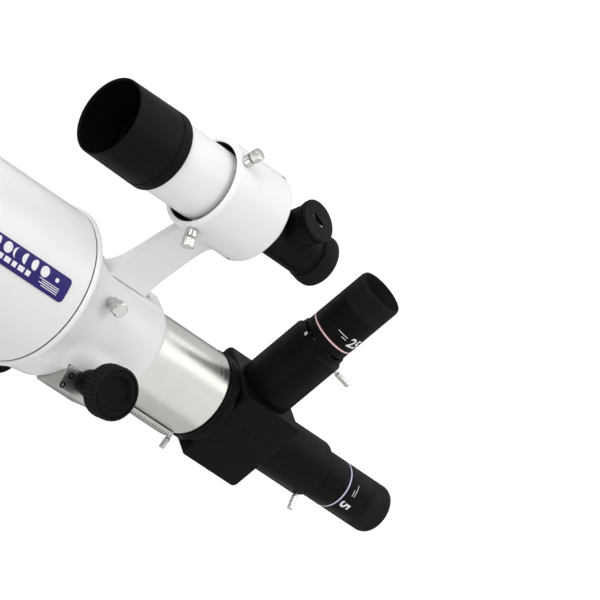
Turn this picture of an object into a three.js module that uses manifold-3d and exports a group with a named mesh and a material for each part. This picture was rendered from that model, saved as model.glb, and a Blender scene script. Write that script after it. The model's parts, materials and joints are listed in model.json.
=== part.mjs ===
// Refractor telescope with focuser, finder, flip mirror, two eyepieces, tube rings and dovetail plate.
// Millimetres, +Z up. +X runs along the optical axis from the sky to the eyepieces.
// The origin is the centre of the dovetail plate's underside.
import * as THREE from "three";
import { mergeVertices } from "three/addons/utils/BufferGeometryUtils.js";
import Module from "manifold-3d";

const wasm = await Module();
wasm.setup();

// ---------------------------------------------------------------- driving dimensions
const GAP = 0.3;                  // clearance between neighbouring pieces
const AXIS_Z = 84;                // optical axis above the plate's underside
const SEAM_X = 250;               // joint between main tube and focuser
const BIG = 32;                   // sides of a large revolved piece
const MID = 24;                   // sides of a middle sized revolved piece
const SMALL = 12;                 // sides of a screw

const TUBE_R = 57.5;
const TUBE_WALL = 2;
const TUBE_FRONT = -520;          // all stations below are measured from the seam
const SPIGOT_R = TUBE_R - TUBE_WALL - GAP;
const SPIGOT_LENGTH = 14;
const CELL_FRONT = -562;
const CELL_REAR = -506;
const CELL_R = 63;
const LENS_R = 51.2;
const SHADE_FRONT = -700;
const SHADE_REAR = -536;
const SHADE_R = 66;
const SHADE_WALL = 2.6;

const FLANGE_R = 59.3;
const FLANGE_REAR = 3.6;
const BODY_REAR = 94.5;
const BODY_BORE = 32.6;
const PINION_X = 50;
const PINION_Z = -39.7;
const PITCH_R = 4.2;              // pinion pitch radius
const TEETH = 12;
const RACK_PITCH = 2 * Math.PI * PITCH_R / TEETH;
const KNOB_R = 18.7;
const KNOB_FACE = 73.7;
const KNOB_LENGTH = 13;
const HUB_R = 10.2;
const BRACKET_SIDE = 38.5;        // half width of the pinion bracket

const DRAWTUBE_R = 32.1;
const DRAWTUBE_BORE = 29.5;
const DRAWTUBE_FRONT = 6;
const DRAWTUBE_REAR = 165.3;
const END_RING_R = 32.6;
const END_RING_REAR = 176.2;

const FINDER_TURN = 28;           // finder plane, degrees from +Z toward -Y
const FINDER_OFFSET = 126.9;      // optical axis to finder axis
const HOLDER_FRONT = 36;
const HOLDER_REAR = 90;
const HOLDER_R = 33.5;
const HOLDER_BORE = 29.6;
const FINDER_TUBE_R = 26.2;
const FINDER_REAR_R = 16.5;
const RAIL_TOP = 38.8;            // radius of the finder rail's top face
const FOOT_FRONT = 33;
const FOOT_REAR = 69;

const BOX_FRONT = 176.7;
const BOX_REAR = 231.9;
const BOX_HALF_WIDTH = 26.2;
const BOX_BOTTOM = -31.7;
const BOX_TOP = 31.5;
const BOX_TURN = 32.4;            // side port direction, degrees from +Z toward -Y
const BOX_WALL = 3;
const PORT_X = 204.7;
const PORT_R = 21.1;
const PORT_BORE = 16.2;
const SIDE_PORT_END = 86;
const REAR_PORT_END = 288;
const BARREL_R = 15.87;
const EYEPIECE_R = 17.8;

const PLATE_LENGTH = 260;
const PLATE_HEIGHT = 15;
const RING_HALF = 12;             // half length of a tube ring
const RING_STATION = 100;         // tube ring centres either side of the origin
const RING_R = 66;
const RING_BORE = TUBE_R + 0.5;

const WHITE_ENAMEL = { color: 0xf1f1ef, roughness: 0.32, metalness: 0 };
const BLACK_PAINT = { color: 0x17171a, roughness: 0.45, metalness: 0 };
const BLACK_RUBBER = { color: 0x141416, roughness: 0.85, metalness: 0 };
const SATIN_ALLOY = { color: 0xc9c8c4, roughness: 0.3, metalness: 1 };
const CHROME = { color: 0xdadada, roughness: 0.12, metalness: 1 };
const STEEL = { color: 0xb9b9b6, roughness: 0.35, metalness: 1 };
const GLASS = { color: 0xa8c0b8, roughness: 0.05, metalness: 0 };
const SILVERED = { color: 0xe6e8ea, roughness: 0.03, metalness: 1 };
const NAVY = { color: 0x231a66, roughness: 0.4, metalness: 0 };

// ---------------------------------------------------------------- helpers
const telescope = new THREE.Group();
telescope.name = "refractor_telescope";

function add(name, geometry, look) {
  const mesh = new THREE.Mesh(geometry, new THREE.MeshStandardMaterial(look));
  mesh.name = name;
  telescope.add(mesh);
}

const radians = (degrees) => degrees * Math.PI / 180;

// Unit vector square to the optical axis, turned from +Z toward -Y.
function outward(degrees) {
  return [0, -Math.sin(radians(degrees)), Math.cos(radians(degrees))];
}

// Revolved solid about +Y from [along, radius] pairs; the outside is walked with along increasing.
function revolve(profile, sides) {
  const points = profile.map(([along, radius]) => new THREE.Vector2(radius, along));
  if (profile[0][1] > 0) points.push(points[0].clone());
  return new THREE.LatheGeometry(points, sides);
}

const alongX = (profile, sides) => revolve(profile, sides).rotateZ(-Math.PI / 2);
const alongZ = (profile, sides) => revolve(profile, sides).rotateX(Math.PI / 2);

function tube(front, rear, outer, inner, sides) {
  return alongX([[front, outer], [rear, outer], [rear, inner], [front, inner]], sides);
}

function rod(front, rear, radius, sides) {
  return alongX([[front, 0], [front, radius], [rear, radius], [rear, 0]], sides);
}

function block(x0, x1, y0, y1, z0, z1) {
  return new THREE.BoxGeometry(x1 - x0, y1 - y0, z1 - z0)
    .translate((x0 + x1) / 2, (y0 + y1) / 2, (z0 + z1) / 2);
}

// Flat outline extruded from depth0 to depth1 along +Z.
function prism(points, depth0, depth1) {
  const outline = new THREE.Shape(points.map(([x, y]) => new THREE.Vector2(x, y)));
  const settings = { depth: depth1 - depth0, bevelEnabled: false };
  return new THREE.ExtrudeGeometry(outline, settings).translate(0, 0, depth0);
}

// Rectangle with rounded corners, as outline points.
function roundedOutline(x0, x1, y0, y1, radius, steps) {
  const corners = [[x1 - radius, y0 + radius, -90], [x1 - radius, y1 - radius, 0],
    [x0 + radius, y1 - radius, 90], [x0 + radius, y0 + radius, 180]];
  const points = [];
  for (const [cx, cy, start] of corners) {
    for (let i = 0; i <= steps; i += 1) {
      const angle = radians(start + 90 * i / steps);
      points.push([cx + radius * Math.cos(angle), cy + radius * Math.sin(angle)]);
    }
  }
  return points;
}

function solid(geometry) {
  const bare = geometry.clone();
  bare.deleteAttribute("normal");
  bare.deleteAttribute("uv");
  const welded = mergeVertices(bare, 1e-4);
  const corners = welded.index.array;
  const kept = [];
  for (let i = 0; i < corners.length; i += 3) {
    const [a, b, c] = corners.slice(i, i + 3);
    if (a !== b && b !== c && c !== a) kept.push(a, b, c);
  }
  return new wasm.Manifold(new wasm.Mesh({
    numProp: 3,
    vertProperties: Float32Array.from(welded.attributes.position.array),
    triVerts: Uint32Array.from(kept),
  }));
}

function meshed(body) {
  const { vertProperties, triVerts } = body.getMesh();
  const geometry = new THREE.BufferGeometry();
  geometry.setAttribute("position", new THREE.BufferAttribute(Float32Array.from(vertProperties), 3));
  geometry.setIndex(Array.from(triVerts));
  geometry.computeVertexNormals();
  return geometry;
}

// First piece plus the added ones, less the cut ones.
function carve(first, added, cut) {
  let body = solid(first);
  for (const piece of added) body = body.add(solid(piece));
  for (const piece of cut) body = body.subtract(solid(piece));
  return meshed(body);
}

const onAxis = (geometry) => geometry.translate(SEAM_X, 0, AXIS_Z);
const turned = (geometry, degrees) => geometry.rotateX(radians(degrees));

// Thumbscrew along +Z from base to tip: stem, collar, neck and head.
function thumbscrew({ base, stemR, collar, collarR, neck, head, headR, tip }) {
  return alongZ([[base, 0], [base, stemR], [collar, stemR], [collar, collarR], [neck, collarR],
    [neck, stemR], [head, stemR], [head, headR], [tip, headR], [tip, 0]], SMALL);
}

function screwBore(radius, start, end) {
  return alongZ([[start, 0], [start, radius], [end, radius], [end, 0]], SMALL);
}

// Slim thumbscrew without a collar.
function pinScrew(base, head, tip) {
  return alongZ([[base, 0], [base, 1.4], [head, 1.4], [head, 2.1], [tip, 2.1], [tip, 0]], SMALL);
}

// ---------------------------------------------------------------- main tube, cell and dew shield
add("main_tube", onAxis(tube(TUBE_FRONT, -GAP, TUBE_R, TUBE_R - TUBE_WALL, BIG)), WHITE_ENAMEL);

add("objective_cell", onAxis(alongX([[CELL_FRONT, LENS_R - 3], [CELL_FRONT, CELL_R],
  [TUBE_FRONT - GAP, CELL_R], [TUBE_FRONT - GAP, SPIGOT_R], [CELL_REAR, SPIGOT_R],
  [CELL_REAR, 50], [-528, 50], [-528, LENS_R + GAP], [-556, LENS_R + GAP],
  [-556, LENS_R - 3]], BIG)), BLACK_PAINT);

add("dew_shield", onAxis(alongX([[SHADE_FRONT, SHADE_R - 3.4], [SHADE_FRONT, SHADE_R],
  [SHADE_REAR, SHADE_R], [SHADE_REAR, CELL_R + GAP], [SHADE_FRONT + 4, CELL_R + GAP]],
  BIG)), WHITE_ENAMEL);

add("objective_front_lens", onAxis(alongX([[-555.4, 0], [-554.6, 26], [-552.2, LENS_R],
  [-545.6, LENS_R], [-543.2, 26], [-542.4, 0]], MID)), GLASS);
add("objective_rear_lens", onAxis(alongX([[-541.4, 0], [-542.2, 26], [-544.4, LENS_R],
  [-529, LENS_R], [-531, 26], [-531.8, 0]], MID)), GLASS);

const LABEL_FRONT = -116;
const LABEL_REAR = -15.2;
const labelArc = [];
for (const [radius, start, end] of [[TUBE_R + GAP, 81, 98.4], [TUBE_R + GAP + 0.6, 98.4, 81]]) {
  for (let i = 0; i <= 5; i += 1) {
    const [, y, z] = outward(start + (end - start) * i / 5);
    labelArc.push([y * radius, z * radius]);
  }
}
const labelStrip = prism(labelArc, LABEL_FRONT, LABEL_REAR).rotateX(Math.PI / 2).rotateZ(Math.PI / 2);
const labelCutter = prism(roundedOutline(LABEL_FRONT, LABEL_REAR, -8.2, 9.2, 3, 3), 0, 80)
  .rotateX(Math.PI / 2);
add("label_plate", onAxis(meshed(solid(labelStrip).intersect(solid(labelCutter)))), NAVY);

// ---------------------------------------------------------------- focuser
const castShell = alongX([[-SPIGOT_LENGTH, 0], [-SPIGOT_LENGTH, SPIGOT_R], [0, SPIGOT_R],
  [0, FLANGE_R], [FLANGE_REAR, FLANGE_R], [FLANGE_REAR + 0.8, 57], [12, 50.5], [24, 44.6],
  [34, 41.5], [48, 39.4], [66, 38], [88, 37.2], [92, 36.2], [BODY_REAR, 34.8],
  [BODY_REAR, 0]], BIG);
const lowerBulge = solid(alongX([[2, 0], [2, 57.5], [27, 53.6], [62, 49], [68, 45], [68, 0]], BIG))
  .intersect(solid(block(0, 70, -36, 33, -60, -20)));
const bearingBlock = block(PINION_X - 19, PINION_X + 19, -BRACKET_SIDE + GAP, 33, -40, -22);
const finderRail = turned(block(20, 90, -9, 9, 25, RAIL_TOP), FINDER_TURN);
const railSlot = turned(block(27, 76, -5, 5, RAIL_TOP - 3.4, RAIL_TOP + 5), FINDER_TURN);
const CLAMP_X = 60;
const LOCK_X = 34;                // focus lock screw: its axis passes the optical axis at Y, Z
const LOCK_Y = -5.7;
const LOCK_Z = 22.8;
const LOCK_TURN = 104;
const CLAMP_HEIGHT = 34.9;        // clamp screw above the optical axis, in the finder plane
const footSeat = turned(block(FOOT_FRONT - 1.5, FOOT_REAR + 2, -9.3, 9.3, RAIL_TOP, 60),
  FINDER_TURN);
const clampHole = turned(screwBore(2.1, 5, 60).rotateX(-Math.PI / 2)
  .translate(CLAMP_X, 0, CLAMP_HEIGHT), FINDER_TURN);
const lockPlace = (geometry) => turned(geometry, LOCK_TURN).translate(LOCK_X, LOCK_Y, LOCK_Z);
const lockHole = lockPlace(screwBore(2.1, 18, 60));
const boreCone = alongX([[-20, 0], [-20, 51.5], [0, 51.5], [22, BODY_BORE], [110, BODY_BORE],
  [110, 0]], BIG);
const rackWay = block(0, 110, -6.3, 6.3, -37.6, 0);
const gearWell = block(PINION_X - 6, PINION_X + 6, -7, 7, -46.5, 0);
const shaftHole = alongZ([[-60, 0], [-60, 3.3], [60, 3.3], [60, 0]], SMALL)
  .rotateX(Math.PI / 2).translate(PINION_X, 0, PINION_Z);
const bracketSeat = block(PINION_X - 19.3, PINION_X + 19.3, -60, -12, -60, -35.7);

const castBody = solid(castShell).add(lowerBulge).add(solid(bearingBlock)).add(solid(finderRail))
  .subtract(solid(footSeat)).subtract(solid(railSlot))
  .subtract(solid(clampHole)).subtract(solid(lockHole)).subtract(solid(boreCone))
  .subtract(solid(rackWay)).subtract(solid(gearWell)).subtract(solid(shaftHole))
  .subtract(solid(bracketSeat));
add("focuser_body", onAxis(meshed(castBody)), WHITE_ENAMEL);

add("pinion_bracket", onAxis(carve(
  block(PINION_X - 19, PINION_X + 19, -BRACKET_SIDE, -12.3, -53, -36), [], [shaftHole])), STEEL);

const pinionOutline = [];
const gearSteps = [[-0.32, 3.1], [-0.2, 4.85], [0.2, 4.85], [0.32, 3.1]];
for (let tooth = 0; tooth < TEETH; tooth += 1) {
  for (const [shift, radius] of gearSteps) {
    const angle = 2 * Math.PI * (tooth + 0.5 + shift * 0.75) / TEETH;
    pinionOutline.push([radius * Math.sin(angle), radius * Math.cos(angle)]);
  }
}
const gear = prism(pinionOutline.reverse(), -5, 5);
const shaft = alongZ([[-66, 0], [-66, 3], [66, 3], [66, 0]], SMALL);
add("pinion_shaft", onAxis(meshed(solid(gear).add(solid(shaft)))
  .rotateX(Math.PI / 2).translate(PINION_X, 0, PINION_Z)), STEEL);

// Rack teeth face down; a tooth stands over the pinion's axis at rest.
const RACK_FRONT = 10;
const RACK_REAR = 163;
const TOOTHED_HALF = 36;          // toothed stretch either side of the pinion
const rackOutline = [[RACK_REAR, -DRAWTUBE_R - GAP], [RACK_FRONT, -DRAWTUBE_R - GAP]];
const lastTooth = Math.floor(TOOTHED_HALF / RACK_PITCH);
rackOutline.push([RACK_FRONT, -34.5]);
for (let tooth = -lastTooth; tooth <= lastTooth; tooth += 1) {
  const centre = PINION_X + tooth * RACK_PITCH;
  rackOutline.push([centre - 0.72, -34.5], [centre - 0.3, -36.3], [centre + 0.3, -36.3],
    [centre + 0.72, -34.5]);
}
rackOutline.push([RACK_REAR, -34.5]);
add("focus_rack", onAxis(prism(rackOutline, -5, 5).rotateX(Math.PI / 2)), STEEL);

const knobProfile = [[0, 0], [0, HUB_R * 0.8], [6, HUB_R], [21.4, HUB_R], [21.4, KNOB_R - 2.6],
  [21.8 + KNOB_LENGTH - 0.4, KNOB_R - 2.6], [21.8 + KNOB_LENGTH - 0.4, 12],
  [21.8 + KNOB_LENGTH - 3, 10], [21.8 + KNOB_LENGTH - 3, 0]];
const knobInner = KNOB_FACE - KNOB_LENGTH - 21.8;
for (const [side, sign] of [["left", 1], ["right", -1]]) {
  const knob = carve(alongZ(knobProfile, MID).translate(0, 0, knobInner), [],
    [alongZ([[0, 0], [0, 3.3], [66.5, 3.3], [66.5, 0]], SMALL)]);
  knob.rotateX(sign * Math.PI / 2).translate(PINION_X, 0, PINION_Z);
  add(`focus_knob_${side}`, onAxis(knob), BLACK_PAINT);

  const ribs = [];
  const ribCount = 24;
  for (let i = 0; i < ribCount; i += 1) {
    const angle = 2 * Math.PI * i / ribCount;
    const step = Math.PI / ribCount;
    ribs.push([KNOB_R * Math.cos(angle), KNOB_R * Math.sin(angle)]);
    ribs.push([(KNOB_R - 1) * Math.cos(angle + step), (KNOB_R - 1) * Math.sin(angle + step)]);
  }
  const grip = carve(prism(ribs, KNOB_FACE - KNOB_LENGTH, KNOB_FACE), [],
    [alongZ([[0, 0], [0, KNOB_R - 2.3], [99, KNOB_R - 2.3], [99, 0]], MID)]);
  grip.rotateX(sign * Math.PI / 2).translate(PINION_X, 0, PINION_Z);
  add(`knob_grip_${side}`, onAxis(grip), BLACK_RUBBER);
}

add("drawtube", onAxis(tube(DRAWTUBE_FRONT, DRAWTUBE_REAR, DRAWTUBE_R, DRAWTUBE_BORE, BIG)),
  SATIN_ALLOY);

const END_SCREW_X = 169.5;
const END_SCREW_TURN = 190;
add("drawtube_end_ring", onAxis(carve(
  alongX([[DRAWTUBE_REAR + GAP, 27.4], [DRAWTUBE_REAR + GAP, END_RING_R],
    [END_RING_REAR, END_RING_R], [END_RING_REAR, 27.4]], BIG), [],
  [turned(screwBore(1.7, 20, 50).translate(END_SCREW_X, 0, 0), END_SCREW_TURN)])), BLACK_PAINT);
add("drawtube_screw", onAxis(turned(
  pinScrew(27.6, 36.2, 44.6).translate(END_SCREW_X, 0, 0), END_SCREW_TURN)), CHROME);

// ---------------------------------------------------------------- finder
const [, finderY, finderZ] = outward(FINDER_TURN).map((part) => part * FINDER_OFFSET);
const onFinder = (geometry) => onAxis(geometry.translate(0, finderY, finderZ));
const inFinderPlane = (geometry) => onAxis(turned(geometry, FINDER_TURN));

const AIM_TIP = 46.4;
const aimScrews = [
  { name: "finder_screw_top", angle: 47, station: 41 },
  { name: "finder_screw_near", angle: 163, station: 41 },
  { name: "finder_screw_far", angle: 283, station: 41 },
];

const holderOuter = alongX([[HOLDER_FRONT, 0], [HOLDER_FRONT, HOLDER_R - 2], [HOLDER_FRONT + 2, HOLDER_R],
  [HOLDER_REAR - 1.5, HOLDER_R], [HOLDER_REAR, HOLDER_R - 1.5], [HOLDER_REAR, 0]], BIG);
const holderBore = alongX([[HOLDER_FRONT - 5, 0], [HOLDER_FRONT - 5, HOLDER_BORE],
  [HOLDER_REAR + 5, HOLDER_BORE], [HOLDER_REAR + 5, 0]], BIG);
const ARM_TOP = FINDER_OFFSET - HOLDER_BORE - 1.5;
const armOutline = [[FOOT_FRONT, RAIL_TOP + GAP], [FOOT_REAR, RAIL_TOP + GAP],
  [FOOT_REAR, RAIL_TOP + 4], [78, 84], [82, 89], [86, ARM_TOP], [49, ARM_TOP],
  [FOOT_FRONT, RAIL_TOP + 4]];
const arm = prism(armOutline, -3.6, 3.6).rotateX(Math.PI / 2);
const foot = block(FOOT_FRONT, FOOT_REAR, -8.7, 8.7, RAIL_TOP + GAP, RAIL_TOP + 5);
const footTongue = block(FOOT_FRONT, FOOT_REAR, -4.6, 4.6, RAIL_TOP - 3, RAIL_TOP + 2);
let bracket = solid(holderOuter.translate(0, 0, FINDER_OFFSET));
for (const piece of [arm, foot, footTongue]) bracket = bracket.add(solid(piece));
bracket = bracket.subtract(solid(holderBore.translate(0, 0, FINDER_OFFSET)));
for (const { angle, station } of aimScrews) {
  const hole = turned(screwBore(2.3, 20, 60).translate(station, 0, 0), angle - FINDER_TURN);
  bracket = bracket.subtract(solid(hole.translate(0, 0, FINDER_OFFSET)));
}
add("finder_bracket", inFinderPlane(meshed(bracket)), WHITE_ENAMEL);

const CLAMP_SCREW_FROM = 5.3;     // set screw, sunk in its hole in the rail
const CLAMP_SCREW_TO = 16.5;
const clampScrew = screwBore(1.8, CLAMP_SCREW_FROM, CLAMP_SCREW_TO);
add("finder_clamp_screw", inFinderPlane(clampScrew.rotateX(-Math.PI / 2)
  .translate(CLAMP_X, 0, CLAMP_HEIGHT)), CHROME);
const lockScrew = { base: 25.2, stemR: 1.8, collar: 38, collarR: 4.4, neck: 42.4, head: 43.8,
  headR: 5.5, tip: 50.2 };
add("focus_lock_screw", onAxis(lockPlace(thumbscrew(lockScrew))), CHROME);
for (const { name, angle, station } of aimScrews) {
  const screw = thumbscrew({ base: FINDER_TUBE_R + GAP, stemR: 2, collar: 34.6, collarR: 4.3,
    neck: 39, head: 40.2, headR: 4.5, tip: AIM_TIP });
  add(name, onFinder(turned(screw.translate(station, 0, 0), angle)), CHROME);
}

add("finder_tube", onFinder(alongX([[-20, 24.4], [-20, FINDER_TUBE_R], [83.7, FINDER_TUBE_R],
  [83.7, 24.7], [88.7, 24.7], [100, 20], [100, 15], [80, 22.6], [20, 24.4]], MID)), WHITE_ENAMEL);
add("finder_rubber_ring", onFinder(tube(84, 88.4, HOLDER_BORE - GAP, FINDER_TUBE_R - 1.2, MID)),
  BLACK_RUBBER);
add("finder_dew_shield", onFinder(alongX([[-57.4, 26.6], [-57.4, 28.4], [-7, 28.9], [-6, 28.4],
  [-6, FINDER_TUBE_R + GAP], [-20.3, FINDER_TUBE_R + GAP], [-20.3, 25.2]], MID)), BLACK_PAINT);
add("finder_front_lens", onFinder(alongX([[-19.5, 0], [-18.2, 16], [-16.8, 24.1], [-10.5, 24.1],
  [-9, 0]], MID)), GLASS);

const STUB_TURN = 54.8;
const STUB_X = 117.4;
const STUB_R = 15.2;
const stubHousing = turned(alongZ([[5, 0], [5, 13.6], [25, 13.6], [26.4, 14.6], [29.6, STUB_R],
  [29.6, 0]], MID).translate(STUB_X, 0, 0), STUB_TURN);
const rearShell = alongX([[100.3, 0], [100.3, 19.4], [108, FINDER_REAR_R], [143, FINDER_REAR_R],
  [143, 14.6], [147, 14.6], [147, 0]], MID);
const rearBore = alongX([[90, 0], [90, 13], [141, 13], [141, 11.2], [160, 11.2], [160, 0]], MID);
add("finder_rear_body", onFinder(carve(rearShell, [stubHousing], [rearBore])), BLACK_PAINT);
add("finder_lamp_cap", onFinder(turned(carve(
  alongZ([[29.9, 0], [29.9, STUB_R], [31.8, STUB_R], [32.4, STUB_R - 0.8], [32.4, 0]], MID),
  [], [block(-4.4, 4.4, -0.9, 0.9, 31.4, 34)]).translate(STUB_X, 0, 0), STUB_TURN)), BLACK_PAINT);
add("finder_eyecup", onFinder(alongX([[143.4, 14.9], [143.4, 17.2], [151, 18.6], [155.6, 18.4],
  [157, 16.4], [147.6, 11.4], [147.3, 14.9]], MID)), BLACK_RUBBER);
add("finder_eye_lens", onFinder(alongX([[141.6, 0], [142.4, 10.9], [145.6, 10.9], [146.4, 0]],
  MID)), GLASS);

// ---------------------------------------------------------------- flip mirror
// Drawn with the side port up, then turned about the optical axis.
const onFlip = (geometry) => onAxis(turned(geometry, BOX_TURN));

add("flip_nose", onFlip(alongX([[150, 24.6], [150, 27.1], [BOX_FRONT - GAP, 27.1],
  [BOX_FRONT - GAP, 24.6]], BIG)), BLACK_PAINT);

const boxShell = prism(roundedOutline(BOX_FRONT, BOX_REAR, BOX_BOTTOM, BOX_TOP, 3.4, 3),
  -BOX_HALF_WIDTH, BOX_HALF_WIDTH).rotateX(Math.PI / 2);
const boxHollow = block(BOX_FRONT + BOX_WALL, BOX_REAR - BOX_WALL, -BOX_HALF_WIDTH + BOX_WALL,
  BOX_HALF_WIDTH - BOX_WALL, BOX_BOTTOM + BOX_WALL, BOX_TOP - BOX_WALL);
const HINGE_X = PORT_X + 20.6;
const HINGE_Z = 20.6;
const axleHole = screwBore(3.1, 0, 60).rotateX(-Math.PI / 2).translate(HINGE_X, 0, HINGE_Z);
add("flip_box", onFlip(carve(boxShell, [], [boxHollow,
  rod(BOX_FRONT - 5, BOX_FRONT + 10, 22, MID), rod(BOX_REAR - 10, BOX_REAR + 5, PORT_BORE, MID),
  alongZ([[10, 0], [10, PORT_BORE], [BOX_TOP + 5, PORT_BORE], [BOX_TOP + 5, 0]], MID)
    .translate(PORT_X, 0, 0), axleHole])), BLACK_PAINT);

const mirrorArm = block(-44.6, -3.5, -18, 18, -1.4, 1.4);
const hingeBarrel = screwBore(2.6, -20, 33).rotateX(-Math.PI / 2);
const hingeWeb = block(-6, 0, -18, 18, -1.4, 1.4);
const atHinge = (geometry) => onFlip(geometry.rotateY(-Math.PI / 4).translate(HINGE_X, 0, HINGE_Z));
add("flip_mirror_holder", atHinge(carve(mirrorArm, [hingeBarrel, hingeWeb], [])), BLACK_PAINT);
add("flip_mirror", atHinge(prism(roundedOutline(-44.4, -7.5, -16.5, 16.5, 6, 3), 1.7, 3.9)), SILVERED);
add("flip_knob", atHinge(alongZ([[33.5, 0], [33.5, 2.9], [26.6, 2.9], [26.6, 9], [28.4, 11],
  [36.4, 11], [37.6, 9.8], [37.6, 0]], MID).rotateX(-Math.PI / 2)), BLACK_PAINT);

const sidePortScrew = (geometry) => geometry.rotateY(Math.PI / 2).rotateZ(radians(-30))
  .translate(PORT_X, 0, 75.6);
add("side_port", onFlip(carve(alongZ([[BOX_TOP + GAP, 0], [BOX_TOP + GAP, PORT_R],
  [SIDE_PORT_END - 2.4, PORT_R], [SIDE_PORT_END, 18.6], [SIDE_PORT_END, 0]], MID)
  .translate(PORT_X, 0, 0), [], [alongZ([[0, 0], [0, PORT_BORE], [99, PORT_BORE], [99, 0]], MID)
  .translate(PORT_X, 0, 0), sidePortScrew(screwBore(1.7, 10, 40))])), BLACK_PAINT);
add("side_port_screw", onFlip(sidePortScrew(pinScrew(16.3, 23.4, 35))), CHROME);

const rearPortScrew = (geometry) => turned(geometry.translate(283, 0, 0), 168 - BOX_TURN);
add("rear_port", onFlip(carve(alongX([[BOX_REAR + GAP, 0], [BOX_REAR + GAP, PORT_R],
  [REAR_PORT_END - 2.4, PORT_R], [REAR_PORT_END, 18.6], [REAR_PORT_END, 0]], MID), [],
  [rod(200, 300, PORT_BORE, MID), rearPortScrew(screwBore(1.7, 10, 40))])), BLACK_PAINT);
add("rear_port_screw", onFlip(rearPortScrew(pinScrew(16.3, 22.6, 33.2))), CHROME);

// ---------------------------------------------------------------- eyepieces
// Stations are measured from the shoulder that rests on the port.
function eyepiece(label, bodyLength, cupLength, place) {
  const top = GAP + bodyLength;
  const end = top + GAP + cupLength;
  const inside = EYEPIECE_R - 2.4;
  add(`${label}_barrel`, place(alongZ([[-28, 14.2], [-28, BARREL_R], [0, BARREL_R], [0, 14.2]],
    MID)), CHROME);
  add(`${label}_body`, place(alongZ([[GAP, 11], [GAP, EYEPIECE_R - 0.5], [5, EYEPIECE_R],
    [top, EYEPIECE_R], [top, 11]], MID)), BLACK_PAINT);
  add(`${label}_eyecup`, place(alongZ([[top + GAP, 11], [top + GAP, EYEPIECE_R],
    [end - 2, EYEPIECE_R], [end, EYEPIECE_R - 1.2], [end, inside + 0.3], [end - 10, inside - 1.4],
    [top + GAP + 2, 11]], MID)), BLACK_RUBBER);
  add(`${label}_eye_lens`, place(alongZ([[top - 5, 0], [top - 4, 10.7], [top - 1, 10.7],
    [top, 0]], MID)), GLASS);
}
eyepiece("eyepiece_25", 34, 18.4, (geometry) => onFlip(geometry.translate(PORT_X, 0, SIDE_PORT_END)));
eyepiece("eyepiece_5", 47, 18.6, (geometry) => onFlip(geometry.rotateY(Math.PI / 2)
  .translate(REAR_PORT_END, 0, 0)));

// ---------------------------------------------------------------- tube rings and dovetail plate
const PLATE_TOP = PLATE_HEIGHT - AXIS_Z;
const HINGE_Y = 73;
const KNUCKLE_R = 6;
const knuckle = (x0, x1, radius) => rod(x0, x1, radius, MID).translate(0, HINGE_Y, 0);
const sleeve = () => solid(tube(-RING_HALF, RING_HALF, RING_R, RING_BORE, BIG));
const tubeRoom = solid(rod(-RING_HALF - 1, RING_HALF + 1, RING_BORE, BIG));
const BOLT_Y = 77;
const EAR_Y = 84;
const boltHole = (radius) => solid(screwBore(radius, -20, 20).translate(0, -BOLT_Y, 0));
const clampBolt = [[-8.6, 0], [-8.6, 2.4], [9.6, 2.4], [9.6, 8], [20.6, 8], [22, 7], [22, 0]];

for (const [place, station] of [["front", -RING_STATION], ["rear", RING_STATION]]) {
  const onPlate = (geometry) => geometry.translate(station, 0, AXIS_Z);
  const lower = sleeve()
    .intersect(solid(block(-20, 20, -90, 90, -90, -GAP / 2)))
    .add(solid(block(-RING_HALF, RING_HALF, -20, 20, PLATE_TOP + GAP, -59)))
    .add(solid(block(-RING_HALF, RING_HALF, -EAR_Y, -59, -9, -GAP / 2)))
    .add(solid(block(5, RING_HALF, 59, HINGE_Y, -KNUCKLE_R, -GAP / 2)))
    .add(solid(block(-RING_HALF, -5, 59, HINGE_Y, -KNUCKLE_R, -GAP / 2)))
    .subtract(tubeRoom)
    .add(solid(knuckle(5, RING_HALF, KNUCKLE_R)))
    .add(solid(knuckle(-RING_HALF, -5, KNUCKLE_R)))
    .add(solid(knuckle(-6, 6, 2.3)))
    .subtract(boltHole(4));
  add(`tube_ring_${place}_lower`, onPlate(meshed(lower)), WHITE_ENAMEL);

  const upper = sleeve()
    .intersect(solid(block(-20, 20, -90, 90, GAP / 2, 90)))
    .add(solid(block(-RING_HALF, RING_HALF, -EAR_Y, -59, GAP / 2, 9)))
    .add(solid(block(-4.6, 4.6, 59, HINGE_Y, GAP / 2, KNUCKLE_R)))
    .subtract(tubeRoom)
    .add(solid(knuckle(-4.6, 4.6, KNUCKLE_R)))
    .subtract(solid(knuckle(-4.7, 4.7, 2.6)))
    .subtract(boltHole(2.7));
  add(`tube_ring_${place}_upper`, onPlate(meshed(upper)), WHITE_ENAMEL);
  add(`tube_ring_${place}_knob`, onPlate(alongZ(clampBolt, MID).translate(0, -BOLT_Y, 0)),
    BLACK_PAINT);
}

const plateOutline = [[-22, 0], [22, 0], [16.5, PLATE_HEIGHT], [-16.5, PLATE_HEIGHT]];
add("dovetail_plate", prism(plateOutline, -PLATE_LENGTH / 2, PLATE_LENGTH / 2)
  .rotateX(Math.PI / 2).rotateZ(Math.PI / 2), SATIN_ALLOY);

export default telescope;
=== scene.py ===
import json
from math import atan2, cos, degrees, exp, hypot, pi, radians, sin, sqrt

import bmesh
import bpy
from bpy.props import FloatProperty, FloatVectorProperty, IntProperty, PointerProperty
from mathutils import Matrix, Vector


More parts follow.
